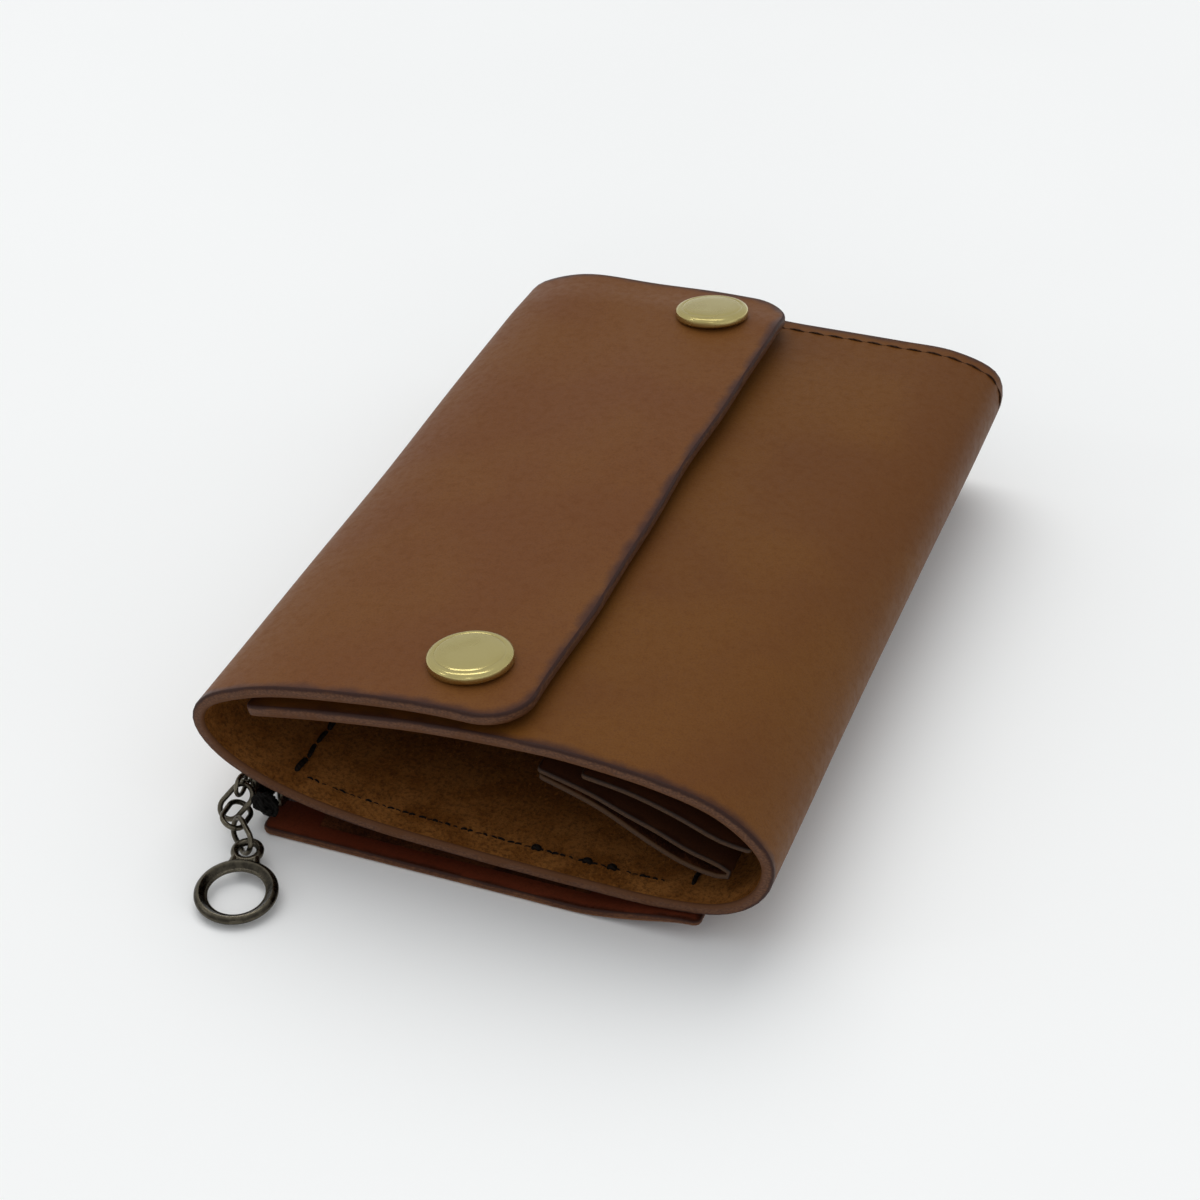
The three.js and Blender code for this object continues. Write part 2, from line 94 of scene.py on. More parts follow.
# The outer face of the long strip of leather, X and Z, as the CAD part has it: from the flap's free edge
# round the left fold, along the back panel, round the right fold and back to the front panel's free end.
SHELL_LINE = [
    (9, 36.4), (-7.4, 36.3), (-22.2, 34.8), (-36.8, 32.2),  # the flap
    (-46.4, 28.6), (-50.9, 25.2), (-52.4, 20.9), (-50.6, 16.4), (-45.6, 12.2),  # the left fold
    (-36.6, 8.6), (-22.4, 6), (-2.4, 4.9), (19.6, 4.4), (33.6, 4.5), (43.6, 6.2),  # the back panel
    (50, 10.8), (52.4, 17.4), (50.2, 23.2), (42.6, 28.8),  # the right fold
    (31.6, 31.6), (17.6, 32.9), (7.6, 32.9), (-5.4, 32.3), (-15.4, 31.4), (-29.7, 29.3), (-42, 26.9),
]
HINGE_TOP, HINGE_SIDE, HINGE_LOW, MID_BACK, HINGE_FRONT = 4, 6, 8, 11.5, 16
FRONT_END = len(SHELL_LINE) - 1

# How far the far end of the closed case lies from the straight line above, at each of its points.
FAR_SHIFT = [
    (0, -0.4), (0, -0.4), (0, 0.1), (0, 1.8),
    (0, 2), (0, 1.5), (0, 0.8), (0, 0.3), (0, 0),
    (0, 0), (0, 0), (0, 0), (0, 0), (0, 0), (0, 0),
    (0, 0), (1.5, 2), (2, 3.3), (0.5, 1),
    (0, -1.5), (0, -2.8), (0, -2.8), (0, -1.8), (0, -1.4), (0, -1.2), (0, -1),
]
SHIFT_FROM = -40  # the Y where the shift starts to grow
DROOP = {"depth": 2.0, "long": 15, "until": 7.5}  # of the flap's far end

DIVIDER_LINE = [(48.4, 21.5), (42.9, 22.4), (35.6, 25.4), (27.5, 27.8), (19, 29.0)]
SLEEVE_LINE = [
    (11, 24.9), (21, 21.6), (30.1, 16.8), (36.4, 13.9), (42, 12.7), (44.6, 13.2),
    (44.8, 14.9), (42.3, 16.3), (37.3, 17.9), (32.1, 20.2), (25.9, 22.4), (20.3, 24.6), (11, 27.2),
]
CARD_INSET = {"card_divider": 0.5, "card_sleeve": 1.5}  # from the case's ends

FLAT_END = 17.6  # the pocket panel rises from here to its right edge
POCKET_TIP = 0.9
POCKET_RISE = pocket_high[2] - pocket_low[2] - POCKET_HIDE
POCKET_THIN = 12  # how far in from the right edge the pocket panel is thinned
GUSSET = {"hide": 0.8, "inset": 1.2, "clear_low": 0.3, "clear_high": 0.35}

# The snap caps. Heights are from the flap's face, and the groove's points are (way in from the edge, height).
CAP = {"lean": (-0.06, 0.06, 0), "barrel": 2, "end": -1.6, "low": -0.35, "wall": (0.1, 0.9), "foot": 0.4}
CAP_RIM = {"wide": 1.4, "high": 0.95}
CAP_GROOVE = [(1.36, 1.79), (1.46, 1.73), (1.58, 1.8), (1.8, 1.91), (2.15, 1.99)]
CAP_DOME = (2.05, 2.07)  # heights part of the way in and in the middle

KNOT = {"loops": 14, "size": (1.45, 1.75), "wire": 0.42, "bent": 0.14, "strewn": 0.12, "core": 1.5}
KNOT_MIDDLES = [(-39.2, -77.0, 5.0), (-40.1, -77.3, 6.0)]

# The slider's eye, as radii and heights from its middle.
CROWN = [(0.75, -0.4), (1.0, -0.45), (1.1, -0.3), (1.1, 0.3), (1.0, 0.45), (0.75, 0.4)]
LOOP = {"radius": 1.85, "wire": 0.8, "middle": (-45, -75.9, 7.3)}

# The chain: each link's middle, the way it runs and the way its flat side faces.
LINK = {"length": 7.9, "width": 5, "wire": 0.95}
LINKS = [
    ((-45.05, -78.0, 5.15), (-0.49, -0.59, -0.64), (0, -0.73, 0.68)),
    ((-43.9, -80.3, 4.25), (0.08, -0.99, 0.1), (0.43, 0.13, 0.89)),
    ((-40.95, -84.1, 3.5), (0.73, -0.66, -0.16), (-0.59, -0.73, 0.34)),
]
RING = {"radius": 6.05, "wire": 2.3, "middle": (-36.2, -95.8, 1.85), "tilt": 6, "heading": 15}
LUG = {"radius": 2.2, "wire": 1.4, "reach": 9.4}
NECK = [(-1.3, 1.8, 0.66), (1.0, 1.95, 0.74), (0.15, 2.1, 0.8)]  # past lug or ring, to the side, radius

STITCH = 4.2  # from hole to hole
POCKET_SEAM_IN = 1.1  # how much further in the pocket's seam is than the front panel's
KNOTS = {"near": (15.3, 19.7, 29), "far": (12, 30)}  # where knots stand out, from the seam's right end


# ---------------------------------------------------------------- meshes
def mesh_object(name, points, faces, body=None, materials=(), tags=None, angle=None):
    """A mesh piece from points in millimetres. tags is one material index for each face."""
    mesh = bpy.data.meshes.new(name)
    mesh.from_pydata((np.asarray(points, float) * MM).tolist(), [], [list(map(int, f)) for f in faces])
    for material in materials:
        mesh.materials.append(material)
    if tags is not None:
        mesh.polygons.foreach_set("material_index", np.asarray(tags, np.int32))
    mesh.polygons.foreach_set("use_smooth", np.ones(len(mesh.polygons), bool))
    if angle is not None:
        mesh.set_sharp_from_angle(angle=math.radians(angle))
    piece = bpy.data.objects.new(name, mesh)
    bpy.context.scene.collection.objects.link(piece)
    if body:
        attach(piece, body)
    return piece


class Build:
    """Points and faces of a piece made of several closed parts."""

    def __init__(self):
        self.points = []
        self.faces = []

    def add(self, points, faces):
        first = len(self.points)
        self.points.extend(np.asarray(points, float).tolist())
        self.faces.extend([i + first for i in face] for face in faces)

    def tube(self, path, radius, sides=10, closed=False, up=(0, 0, 1), flat=1.0):
        """A tube along a path. radius is one number, or one for each point. flat squeezes it along up."""
        path = np.asarray(path, float)
        n = len(path)
        radii = np.broadcast_to(np.asarray(radius, float), n)
        if closed:
            tangent = np.roll(path, -1, 0) - np.roll(path, 1, 0)
        else:
            tangent = np.gradient(path, axis=0)
        tangent /= np.linalg.norm(tangent, axis=1)[:, None]
        side = np.cross(tangent, np.asarray(up, float))
        side /= np.linalg.norm(side, axis=1)[:, None]
        over = np.cross(side, tangent)
        turn = np.arange(sides) / sides * 2 * math.pi
        ring = side[:, None] * np.cos(turn)[None, :, None]
        ring = ring + flat * over[:, None] * np.sin(turn)[None, :, None]
        self.loft(path[:, None] + ring * radii[:, None, None], closed)

    def loft(self, rings, closed=False):
        """Rings of points, each joined to the next, with the first and last filled in unless closed."""
        n, sides = len(rings), len(rings[0])
        faces = []
        for i in range(n if closed else n - 1):
            a, b = i * sides, (i + 1) % n * sides
            for k in range(sides):
                m = (k + 1) % sides
                faces.append([a + k, b + k, b + m, a + m])
        if not closed:
            faces.append(list(range(sides)))
            faces.append(list(range((n - 1) * sides, n * sides))[::-1])
        self.add(np.concatenate(rings), faces)

    def lathe(self, profile, matrix, steps=64):
        """A profile of radius and height, revolved about the matrix's Z axis. It starts and ends on the axis,
        or it closes on itself."""
        profile = [tuple(p) for p in profile]
        looped = profile[0] == profile[-1]
        if looped:
            profile = profile[:-1]
        rows, points = [], []
        for r, z in profile:
            if r < 1e-6:
                rows.append([len(points)] * steps)
                points.append((0, 0, z))
            else:
                rows.append([len(points) + k for k in range(steps)])
                for k in range(steps):
                    turn = k / steps * 2 * math.pi
                    points.append((r * math.cos(turn), r * math.sin(turn), z))
        faces = []
        pairs = list(zip(rows, rows[1:] + rows[:1])) if looped else list(zip(rows, rows[1:]))
        for a, b in pairs:
            for k in range(steps):
                m = (k + 1) % steps
                face = list(dict.fromkeys([a[k], a[m], b[m], b[k]]))
                if len(face) > 2:
                    faces.append(face)
        rotation, shift = matrix
        self.add(np.asarray(points) @ np.asarray(rotation).T + np.asarray(shift), faces)

    def block(self, low, high, chamfer):
        """A box with chamfered edges, from its lowest and highest corner."""
        low, high = np.asarray(low, float), np.asarray(high, float)
        points, index = [], {}
        for corner in np.ndindex(2, 2, 2):
            for axis in range(3):
                p = np.where(corner, high - chamfer, low + chamfer)
                p[axis] = high[axis] if corner[axis] else low[axis]
                index[corner, axis] = len(points)
                points.append(p)
        faces = []
        around = [(0, 0), (1, 0), (1, 1), (0, 1)]
        for axis in range(3):
            b, c = [k for k in range(3) if k != axis]

            def corner_at(end, i, j):
                corner = [0, 0, 0]
                corner[axis], corner[b], corner[c] = end, i, j
                return tuple(corner)

            for end in (0, 1):
                faces.append([index[corner_at(end, i, j), axis] for i, j in around])
            for i, j in around:
                one, two = corner_at(0, i, j), corner_at(1, i, j)
                faces.append([index[one, b], index[two, b], index[two, c], index[one, c]])
        for corner in np.ndindex(2, 2, 2):
            faces.append([index[corner, axis] for axis in range(3)])
        middle = (low + high) / 2
        turned = []
        for face in faces:
            p = [np.asarray(points[i]) for i in face]
            outward = np.dot(np.cross(p[1] - p[0], p[2] - p[0]), sum(p) / len(p) - middle)
            turned.append(face if outward > 0 else face[::-1])
        self.add(points, turned)

    def piece(self, name, body, slot, material, angle=None):
        return mesh_object(name, self.points, self.faces, body, [material], angle=angle)


# ---------------------------------------------------------------- leather sheets
def spline(points, t):
    """A uniform Catmull-Rom line through points, at the index values t, and its derivative there."""
    points = np.asarray(points, float)
    last = len(points) - 1
    t = np.clip(np.asarray(t, float), 0, last)
    i = np.minimum(t.astype(int), last - 1)
    f = (t - i)[..., None]
    p0, p1 = points[np.maximum(i - 1, 0)], points[i]
    p2, p3 = points[i + 1], points[np.minimum(i + 2, last)]
    v0, v1 = (p2 - p0) / 2, (p3 - p1) / 2
    cubic, square = 2 * p1 - 2 * p2 + v0 + v1, -3 * p1 + 3 * p2 - 2 * v0 - v1
    return cubic * f**3 + square * f**2 + v0 * f + p1, 3 * cubic * f**2 + 2 * square * f + v0


def smoothstep(x):
    x = np.clip(x, 0, 1)
    return x * x * (3 - 2 * x)


class Sheet:
    """A sheet of leather along a line in X and Z, run along Y, with rounded corners and edges.

    s is the way along the line, y the place along Y, and depth the way through the leather from its outer
    face.
    """

    def __init__(self, line, thickness, y0, y1, corners, edge, step=2.0, shape=None, trim=None, taper=None):
        self.line = np.array(line, float)
        self.thickness, self.y0, self.y1, self.edge = thickness, y0, y1, edge
        self.corners, self.step = corners, step
        self.shape = shape or (lambda t, y: np.zeros(np.broadcast(t, y).shape + (2,)))
        self.trim = trim or (lambda s, y: s)
        self.taper = taper or (lambda s: np.ones_like(s))
        self.index = np.linspace(0, len(line) - 1, 60 * len(line))
        at, _ = spline(self.line, self.index)
        steps = np.linalg.norm(np.diff(at, axis=0), axis=1)
        self.along = np.concatenate([[0], np.cumsum(steps)])
        self.length = self.along[-1]

    def way(self, index):
        """The way along the line to one of its numbered points."""
        return float(np.interp(index, self.index, self.along))

    def way_at(self, x, start, end):
        """The way along the line to the place between two of its points where it passes x."""
        t = np.linspace(start, end, 400)
        at, _ = spline(self.line, t)
        return self.way(t[np.argmin(abs(at[:, 0] - x))])

    def at(self, s, y, depth):
        s, y, depth = np.broadcast_arrays(*(np.asarray(value, float) for value in (s, y, depth)))
        s = self.trim(s, y)
        t = np.interp(s, self.along, self.index)
        flat, direction = spline(self.line, t)
        direction /= np.linalg.norm(direction, axis=-1)[..., None]
        inward = np.stack([-direction[..., 1], direction[..., 0]], -1)
        flat = flat + self.shape(t, y) + inward * (depth * self.taper(s))[..., None]
        return np.stack([flat[..., 0], y, flat[..., 1]], -1)

    def outward(self, s, y):
        """The unit direction out of the outer face."""
        h = 0.2
        along = self.at(s + h, y, 0) - self.at(s - h, y, 0)
        across = self.at(s, y + h, 0) - self.at(s, y - h, 0)
        n = np.cross(across, along)
        n /= np.linalg.norm(n, axis=-1)[..., None]
        inward = self.at(s, y, 1) - self.at(s, y, 0)
        return np.where(np.sum(n * inward, -1)[..., None] > 0, -n, n)

    def plan(self, inset):
        """For each row, its s and how far its ends are from y0 and y1, on the outline moved in by inset."""
        s, ends = [], []
        for which, radius in enumerate(self.corners):
            count = max(3, round(radius / 0.75))
            turn = np.arange(count) / count * math.pi / 2
            s_zone = inset + (radius - inset) * (1 - np.cos(turn))
            e_zone = inset + (radius - inset) * (1 - np.sin(turn))
            s.append(s_zone if which == 0 else self.length - s_zone[::-1])
            ends.append(e_zone if which == 0 else e_zone[::-1])
        first, last = self.corners[0], self.length - self.corners[1]
        count = max(2, round((last - first) / self.step))
        middle = np.linspace(first, last, count + 1)
        ends.insert(1, np.full(count + 1, inset))
        return np.concatenate([s[0], middle, s[1]]), np.concatenate(ends)

    def columns(self):
        """The share of the way from y0 to y1 for each column of points, which are closer at the ends."""
        width = self.y1 - self.y0 - 2 * self.edge
        close = [d for d in (0, 0.5, 1.1, 1.9, 2.9, 4.2) if d < width / 3]
        count = max(2, round((width - 2 * close[-1]) / self.step))
        middle = np.linspace(close[-1], width - close[-1], count + 1)
        return np.concatenate([close[:-1], middle, [width - d for d in close[:-1][::-1]]]) / width

    def rim(self, s, y):
        """The distance to the outline."""
        radius = np.where(s < self.length / 2, *self.corners)
        qs = abs(s - self.length / 2) - (self.length / 2 - radius)
        qy = abs(y - (self.y0 + self.y1) / 2) - ((self.y1 - self.y0) / 2 - radius)
        outside = np.hypot(np.maximum(qs, 0), np.maximum(qy, 0))
        return radius - outside - np.minimum(np.maximum(qs, qy), 0)

    def build(self, names, cuts, materials, slot):
        """The sheet's pieces: names has one name for each stretch between the cuts, which are values of s."""
        share = self.columns()
        rows, cols = len(self.plan(self.edge)[0]), len(share)

        def layer(inset, depth, which=None):
            s, ends = self.plan(inset)
            y = (self.y0 + ends)[:, None] * (1 - share) + (self.y1 - ends)[:, None] * share
            s = np.broadcast_to(s[:, None], y.shape)
            found = np.stack([s, y, np.full(y.shape, float(depth))], -1)
            return found.reshape(-1, 3) if which is None else found.reshape(-1, 3)[which]

        loop = [(0, c) for c in range(cols)] + [(r, cols - 1) for r in range(1, rows)]
        loop += [(rows - 1, c) for c in range(cols - 2, -1, -1)] + [(r, 0) for r in range(rows - 2, 0, -1)]
        border = np.array([r * cols + c for r, c in loop])
        turns = [math.radians(a) for a in (30, 60, 90)]
        profile = [(self.edge * (1 - math.sin(a)), self.edge * (1 - math.cos(a))) for a in turns]
        across = [*profile, (0, self.thickness / 2)]
        across += [(inset, self.thickness - depth) for inset, depth in profile[::-1]]

        plan = [layer(self.edge, 0)]
        plan += [layer(inset, depth, border) for inset, depth in across]
        plan.append(layer(self.edge, self.thickness))
        wall = np.concatenate([np.full(len(p), d / self.thickness) for p, (_, d) in
                               zip(plan, [(0, 0), *across, (0, self.thickness)])])
        starts = np.cumsum([0] + [len(p) for p in plan[:-1]])
        plan = np.concatenate(plan)
        points = self.at(plan[:, 0], plan[:, 1], plan[:, 2])
        rim = np.maximum(self.rim(plan[:, 0], plan[:, 1]), 0)

        faces, kinds, bands = [], [], []
        inner = starts[-1]
        for r in range(rows - 1):
            for c in range(cols - 1):
                a = r * cols + c
                faces.append([a, a + 1, a + cols + 1, a + cols])
                faces.append([inner + a, inner + a + cols, inner + a + cols + 1, inner + a + 1])
                kinds += [0, 2]
                bands += [r, r]
        walls = [starts[k + 1] + np.arange(len(border)) for k in range(len(across))]
        chains = [border, *walls, inner + border]
        for upper, lower in zip(chains, chains[1:]):
            for k in range(len(border)):
                m = (k + 1) % len(border)
                faces.append([upper[m], upper[k], lower[k], lower[m]])
                kinds.append(1)
                bands.append(min(loop[k][0], loop[m][0], rows - 2))
        first = [points[i] for i in faces[0]]
        if np.dot(np.cross(first[1] - first[0], first[2] - first[0]), points[inner] - points[0]) > 0:
            faces = [face[::-1] for face in faces]
        normals = vertex_normals(points, faces)

        s_rows = self.plan(self.edge)[0]
        cut_rows = [0, *[int(np.argmin(abs(s_rows - cut))) for cut in cuts], rows - 1]
        made = []
        bands, kinds = np.array(bands), np.array(kinds)
        side_chain = {loop[k]: k for k in range(len(loop))}
        for name, low, high in zip(names, cut_rows, cut_rows[1:]):
            chosen = np.flatnonzero((bands >= low) & (bands < high))
            own = [faces[i] for i in chosen]
            tags = kinds[chosen].tolist()
            for row, front in ((low, False), (high, True)):
                if row in (0, rows - 1):
                    continue
                row_points = range(row * cols, row * cols + cols - 1)
                cap = [[a, a + 1, inner + a + 1, inner + a] for a in row_points]
                for c in (0, cols - 1):
                    k = side_chain[row, c]
                    ring = [int(chain[k]) for chain in chains]
                    cap.append(ring if c == 0 else ring[::-1])
                own += [f[::-1] for f in cap] if front else cap
                tags += [1] * len(cap)
            used, flat = np.unique(np.concatenate([np.asarray(f) for f in own]), return_inverse=True)
            sizes = np.cumsum([0] + [len(f) for f in own])
            own = [flat[a:b].tolist() for a, b in zip(sizes, sizes[1:])]
            piece = mesh_object(name, points[used], own, materials=materials, tags=tags)
            for label, values in (("rim", rim), ("wall", wall)):
                attribute = piece.data.attributes.new(label, "FLOAT", "POINT")
                attribute.data.foreach_set("value", values[used].astype(np.float32))
            piece.data.normals_split_custom_set_from_vertices(normals[used].tolist())
            made.append(piece)
        return made


def vertex_normals(points, faces):
    """The unit normal at each point of a mesh of four-sided faces."""
    quads = np.array(faces)
    normal = np.cross(points[quads[:, 2]] - points[quads[:, 0]], points[quads[:, 3]] - points[quads[:, 1]])
    total = np.zeros_like(points)
    for k in range(4):
        np.add.at(total, quads[:, k], normal)
    return total / np.linalg.norm(total, axis=1)[:, None]


def unit(v):
    v = np.asarray(v, float)
    return v / np.linalg.norm(v)


def placed(origin, up, forward=(0, 1, 0)):
    """A frame with its Z along up and its Y near forward, as (rotation, shift)."""
    z = unit(up)
    x = unit(np.cross(forward, z))
    return np.stack([x, np.cross(z, x), z], 1), np.asarray(origin, float)


# ---------------------------------------------------------------- material nodes
class Finish:
    """A Principled material and short calls that make its nodes."""

    def __init__(self, name, **sockets):
        self.material = bpy.data.materials.new(name)
        self.material.use_nodes = True
        self.tree = self.material.node_tree
        self.shader = self.tree.nodes["Principled BSDF"]
        for label, value in sockets.items():
            self.shader.inputs[label.replace("_", " ")].default_value = value
        self.coordinates = self.node("ShaderNodeTexCoord").outputs["Object"]

    def node(self, kind, **settings):
        made = self.tree.nodes.new(kind)
        for key, value in settings.items():
            setattr(made, key, value)
        return made

    def join(self, value, socket):
        if isinstance(value, bpy.types.NodeSocket):
            self.tree.links.new(value, socket)
        elif isinstance(value, tuple) and len(value) == 3 and socket.type == "RGBA":
            socket.default_value = (*value, 1)
        else:
            socket.default_value = value

    def stretched(self, x, y, z):
        mapping = self.node("ShaderNodeMapping")
        self.join(self.coordinates, mapping.inputs["Vector"])
        mapping.inputs["Scale"].default_value = (x, y, z)
        return mapping.outputs["Vector"]

    def noise(self, size, detail=3.0, roughness=0.55, vector=None):
        """Noise with blobs of about this size in millimetres."""
        made = self.node("ShaderNodeTexNoise")
        self.join(vector or self.coordinates, made.inputs["Vector"])
        made.inputs["Scale"].default_value = 1 / (size * MM)
        made.inputs["Detail"].default_value = detail
        made.inputs["Roughness"].default_value = roughness
        return made.outputs["Fac"]

    def cells(self, size, feature="F1", vector=None):
        made = self.node("ShaderNodeTexVoronoi", feature=feature)
        self.join(vector or self.coordinates, made.inputs["Vector"])
        made.inputs["Scale"].default_value = 1 / (size * MM)
        return made.outputs["Distance"]

    def attribute(self, name):
        return self.node("ShaderNodeAttribute", attribute_name=name).outputs["Fac"]

    def sum(self, operation, a, b=0.0, c=0.0):
        made = self.node("ShaderNodeMath", operation=operation)
        for value, socket in zip((a, b, c), made.inputs):
            self.join(value, socket)
        return made.outputs[0]

    def spread(self, value, low, high, to_low=0.0, to_high=1.0):
        """value from low to high becomes to_low to to_high, and no further."""
        made = self.node("ShaderNodeMapRange", interpolation_type="SMOOTHSTEP")
        for value, label in zip((value, low, high, to_low, to_high),
                                ("Value", "From Min", "From Max", "To Min", "To Max")):
            self.join(value, made.inputs[label])
        return made.outputs["Result"]

    def mix(self, share, a, b):
        made = self.node("ShaderNodeMix", data_type="RGBA", blend_type="MIX")
        for value, socket in zip((share, a, b), (made.inputs[0], made.inputs[6], made.inputs[7])):
            self.join(value, socket)
        return made.outputs[2]

    def bump(self, height, strength, distance, under=None):
        """distance is the height of the relief in millimetres."""
        made = self.node("ShaderNodeBump")
        made.inputs["Strength"].default_value = strength
        made.inputs["Distance"].default_value = distance * MM
        self.join(height, made.inputs["Height"])
        if under is not None:
            self.join(under, made.inputs["Normal"])
        return made.outputs["Normal"]

    def finish(self, color, roughness, normal=None):
        self.join(color, self.shader.inputs["Base Color"])
        self.join(roughness, self.shader.inputs["Roughness"])
        if normal is not None:
            self.join(normal, self.shader.inputs["Normal"])
        return self.material


def srgb(r, g, b):
    """A colour from its 0 to 255 display values."""
    return tuple((c / 255 / 12.92) if c <= 10 else ((c / 255 + 0.055) / 1.055) ** 2.4 for c in (r, g, b))


def grain_leather(name, light, middle, dark, rim_color, rim_width, gloss):
    """The grain side of vegetable-tanned leather: cloudy colour, pores, faint creases and a burnished rim."""
    f = Finish(name, Specular_IOR_Level=0.17, IOR=1.45)
    clouds = f.noise(34, 2, 0.5)
    mottle = f.noise(1.7, 4, 0.6)
    pores = f.cells(0.42)
    fine = f.noise(0.33, 3, 0.7)
    color = f.mix(f.spread(clouds, 0.36, 0.64), middle, light)
    color = f.mix(f.spread(mottle, 0.48, 0.8, 0, 0.22), color, dark)
    color = f.mix(f.spread(fine, 0.42, 0.7, 0, 0.5), color, dark)
    creases = f.cells(5.5, "DISTANCE_TO_EDGE", f.stretched(1, 0.6, 1))
    crease = f.spread(creases, 0.0, 0.035, 1, 0)
    scratch = f.noise(1.0, 2, 0.5, f.stretched(1, 0.06, 1))
    color = f.mix(f.spread(scratch, 0.67, 0.74, 0, 0.2), color, light)
    wobble = f.sum("ADD", f.attribute("rim"), f.spread(f.noise(5, 3), 0.2, 0.8, -0.6, 0.6))
    rim = f.spread(wobble, 0.2, rim_width, 1, 0)
    color = f.mix(f.sum("MULTIPLY", rim, 0.82), color, rim_color)
    height = f.sum("MULTIPLY_ADD", pores, 0.6, f.sum("MULTIPLY", fine, 0.5))
    height = f.sum("MULTIPLY_ADD", crease, -0.16, height)
    normal = f.bump(height, 0.3, 0.045)
    normal = f.bump(mottle, 0.16, 0.08, normal)
    rough = f.spread(mottle, 0.3, 0.75, gloss - 0.04, gloss + 0.08)
    rough = f.sum("MULTIPLY_ADD", rim, -0.16, rough)
    return f.finish(color, rough, normal)


def cut_edge(name, face, dark, fibre):
    """The cut and burnished edge: dark at both arrises, paler compressed fibres between."""
    f = Finish(name, Specular_IOR_Level=0.2, IOR=1.45)
    across = f.attribute("wall")
    fibres = f.noise(0.28, 3, 0.6, f.stretched(0.6, 0.25, 1))
    patches = f.noise(5, 4, 0.6)
    color = f.mix(f.spread(fibres, 0.3, 0.75, 0.35, 1), dark, face)
    color = f.mix(f.spread(patches, 0.5, 0.75, 0, 0.5), color, fibre)
    wobble = f.sum("ADD", across, f.spread(patches, 0.25, 0.75, -0.1, 0.1))
    color = f.mix(f.spread(wobble, 0.08, 0.3, 0.9, 0), color, dark)
    color = f.mix(f.spread(wobble, 0.5, 0.85, 0, 0.85), color, fibre)
    normal = f.bump(fibres, 0.35, 0.07)
    return f.finish(color, f.spread(patches, 0.3, 0.7, 0.45, 0.65), normal)


def flesh_side(name, light, middle, dark):
    """The fuzzy flesh side of the hide, with painted shade that deepens the further a point lies in from the
    sheet's edges.
    """
    f = Finish(name, Specular_IOR_Level=0.05, IOR=1.4)
    nap = f.noise(0.7, 5, 0.72)
    fibres = f.noise(0.3, 4, 0.7, f.stretched(0.7, 0.35, 1))
    patches = f.noise(7, 4, 0.6)
    # painted shade: the colour darkens towards dark with the distance from the outline (the rim attribute),
    # standing in for the shade deep inside the case
    inward = f.sum("ADD", f.attribute("rim"), f.spread(patches, 0.25, 0.75, -5, 5))
    color = f.mix(f.spread(patches, 0.35, 0.68), middle, light)
    color = f.mix(f.spread(inward, 4, 36, 0, 0.6), color, dark)
    color = f.mix(f.spread(nap, 0.42, 0.66, 0, 0.6), color, dark)
    color = f.mix(f.spread(fibres, 0.55, 0.7, 0, 0.75), color, light)
    normal = f.bump(nap, 0.8, 0.3)
    normal = f.bump(fibres, 0.9, 0.2, normal)
    return f.finish(color, 0.95, normal)


def brass_finish():
    """Smooth, slightly dulled brass with faint tarnish and hair-fine scratches."""
    f = Finish("brass_lightly_scratched", Metallic=1.0)
    tarnish = f.noise(6, 3, 0.5)
    scratch_a = f.noise(0.5, 2, 0.5, f.stretched(1, 0.05, 1))
    scratch_b = f.noise(0.5, 2, 0.5, f.stretched(0.05, 1, 1))
    scratches = f.sum("MAXIMUM", f.spread(scratch_a, 0.7, 0.76), f.spread(scratch_b, 0.7, 0.78))
    color = f.mix(f.spread(tarnish, 0.4, 0.7, 0, 0.6), srgb(200, 186, 125), srgb(188, 173, 113))
    rough = f.spread(tarnish, 0.35, 0.7, 0.22, 0.29)
    rough = f.sum("MULTIPLY_ADD", scratches, 0.05, rough)
    return f.finish(color, rough, f.bump(scratches, 0.05, 0.01))


def gunmetal_finish():
    """Antique gunmetal plating, worn pale on the high points."""
    f = Finish("gunmetal_antique", Metallic=1.0)
    wear = f.node("ShaderNodeNewGeometry").outputs["Pointiness"]
    blotch = f.noise(1.2, 5, 0.65)
    fine = f.noise(0.12, 3, 0.6)
    color = f.mix(f.spread(blotch, 0.36, 0.7), srgb(56, 52, 45), srgb(80, 75, 64))
    color = f.mix(f.spread(wear, 0.51, 0.57, 0, 0.5), color, srgb(136, 128, 110))
    rough = f.spread(blotch, 0.3, 0.7, 0.2, 0.36)
    normal = f.bump(f.sum("MULTIPLY_ADD", fine, 0.4, blotch), 0.15, 0.03)
    return f.finish(color, rough, normal)


def tape_finish():
    """Black woven zip tape."""
    f = Finish("zip_tape_black", Specular_IOR_Level=0.2, Sheen_Weight=0.3, Sheen_Roughness=0.5)
    warp = f.node("ShaderNodeTexWave", bands_direction="Y", wave_profile="SIN")
    weft = f.node("ShaderNodeTexWave", bands_direction="X", wave_profile="SIN")
    for wave in (warp, weft):
        f.join(f.coordinates, wave.inputs["Vector"])
        wave.inputs["Scale"].default_value = 1 / (0.9 * MM) / 2
        wave.inputs["Distortion"].default_value = 0.6
    weave = f.sum("MULTIPLY", warp.outputs["Fac"], weft.outputs["Fac"])
    lint = f.noise(0.6, 4, 0.7)
    color = f.mix(weave, srgb(18, 17, 18), srgb(46, 44, 45))
    color = f.mix(f.spread(lint, 0.62, 0.8, 0, 0.4), color, srgb(90, 84, 78))
    return f.finish(color, 0.85, f.bump(weave, 0.6, 0.15))


def thread_finish(name, base, pale):
    """Waxed, twisted thread."""
    f = Finish(name, Specular_IOR_Level=0.08)
    twist = f.node("ShaderNodeTexWave", bands_direction="DIAGONAL", wave_profile="SIN")
    f.join(f.coordinates, twist.inputs["Vector"])
    twist.inputs["Scale"].default_value = 1 / (0.8 * MM) / 2
    twist.inputs["Distortion"].default_value = 1.5
    lint = f.noise(0.3, 4, 0.7)
    color = f.mix(twist.outputs["Fac"], base, pale)
    color = f.mix(f.spread(lint, 0.6, 0.8, 0, 0.4), color, pale)
    return f.finish(color, f.spread(lint, 0.3, 0.7, 0.5, 0.8), f.bump(twist.outputs["Fac"], 0.6, 0.12))


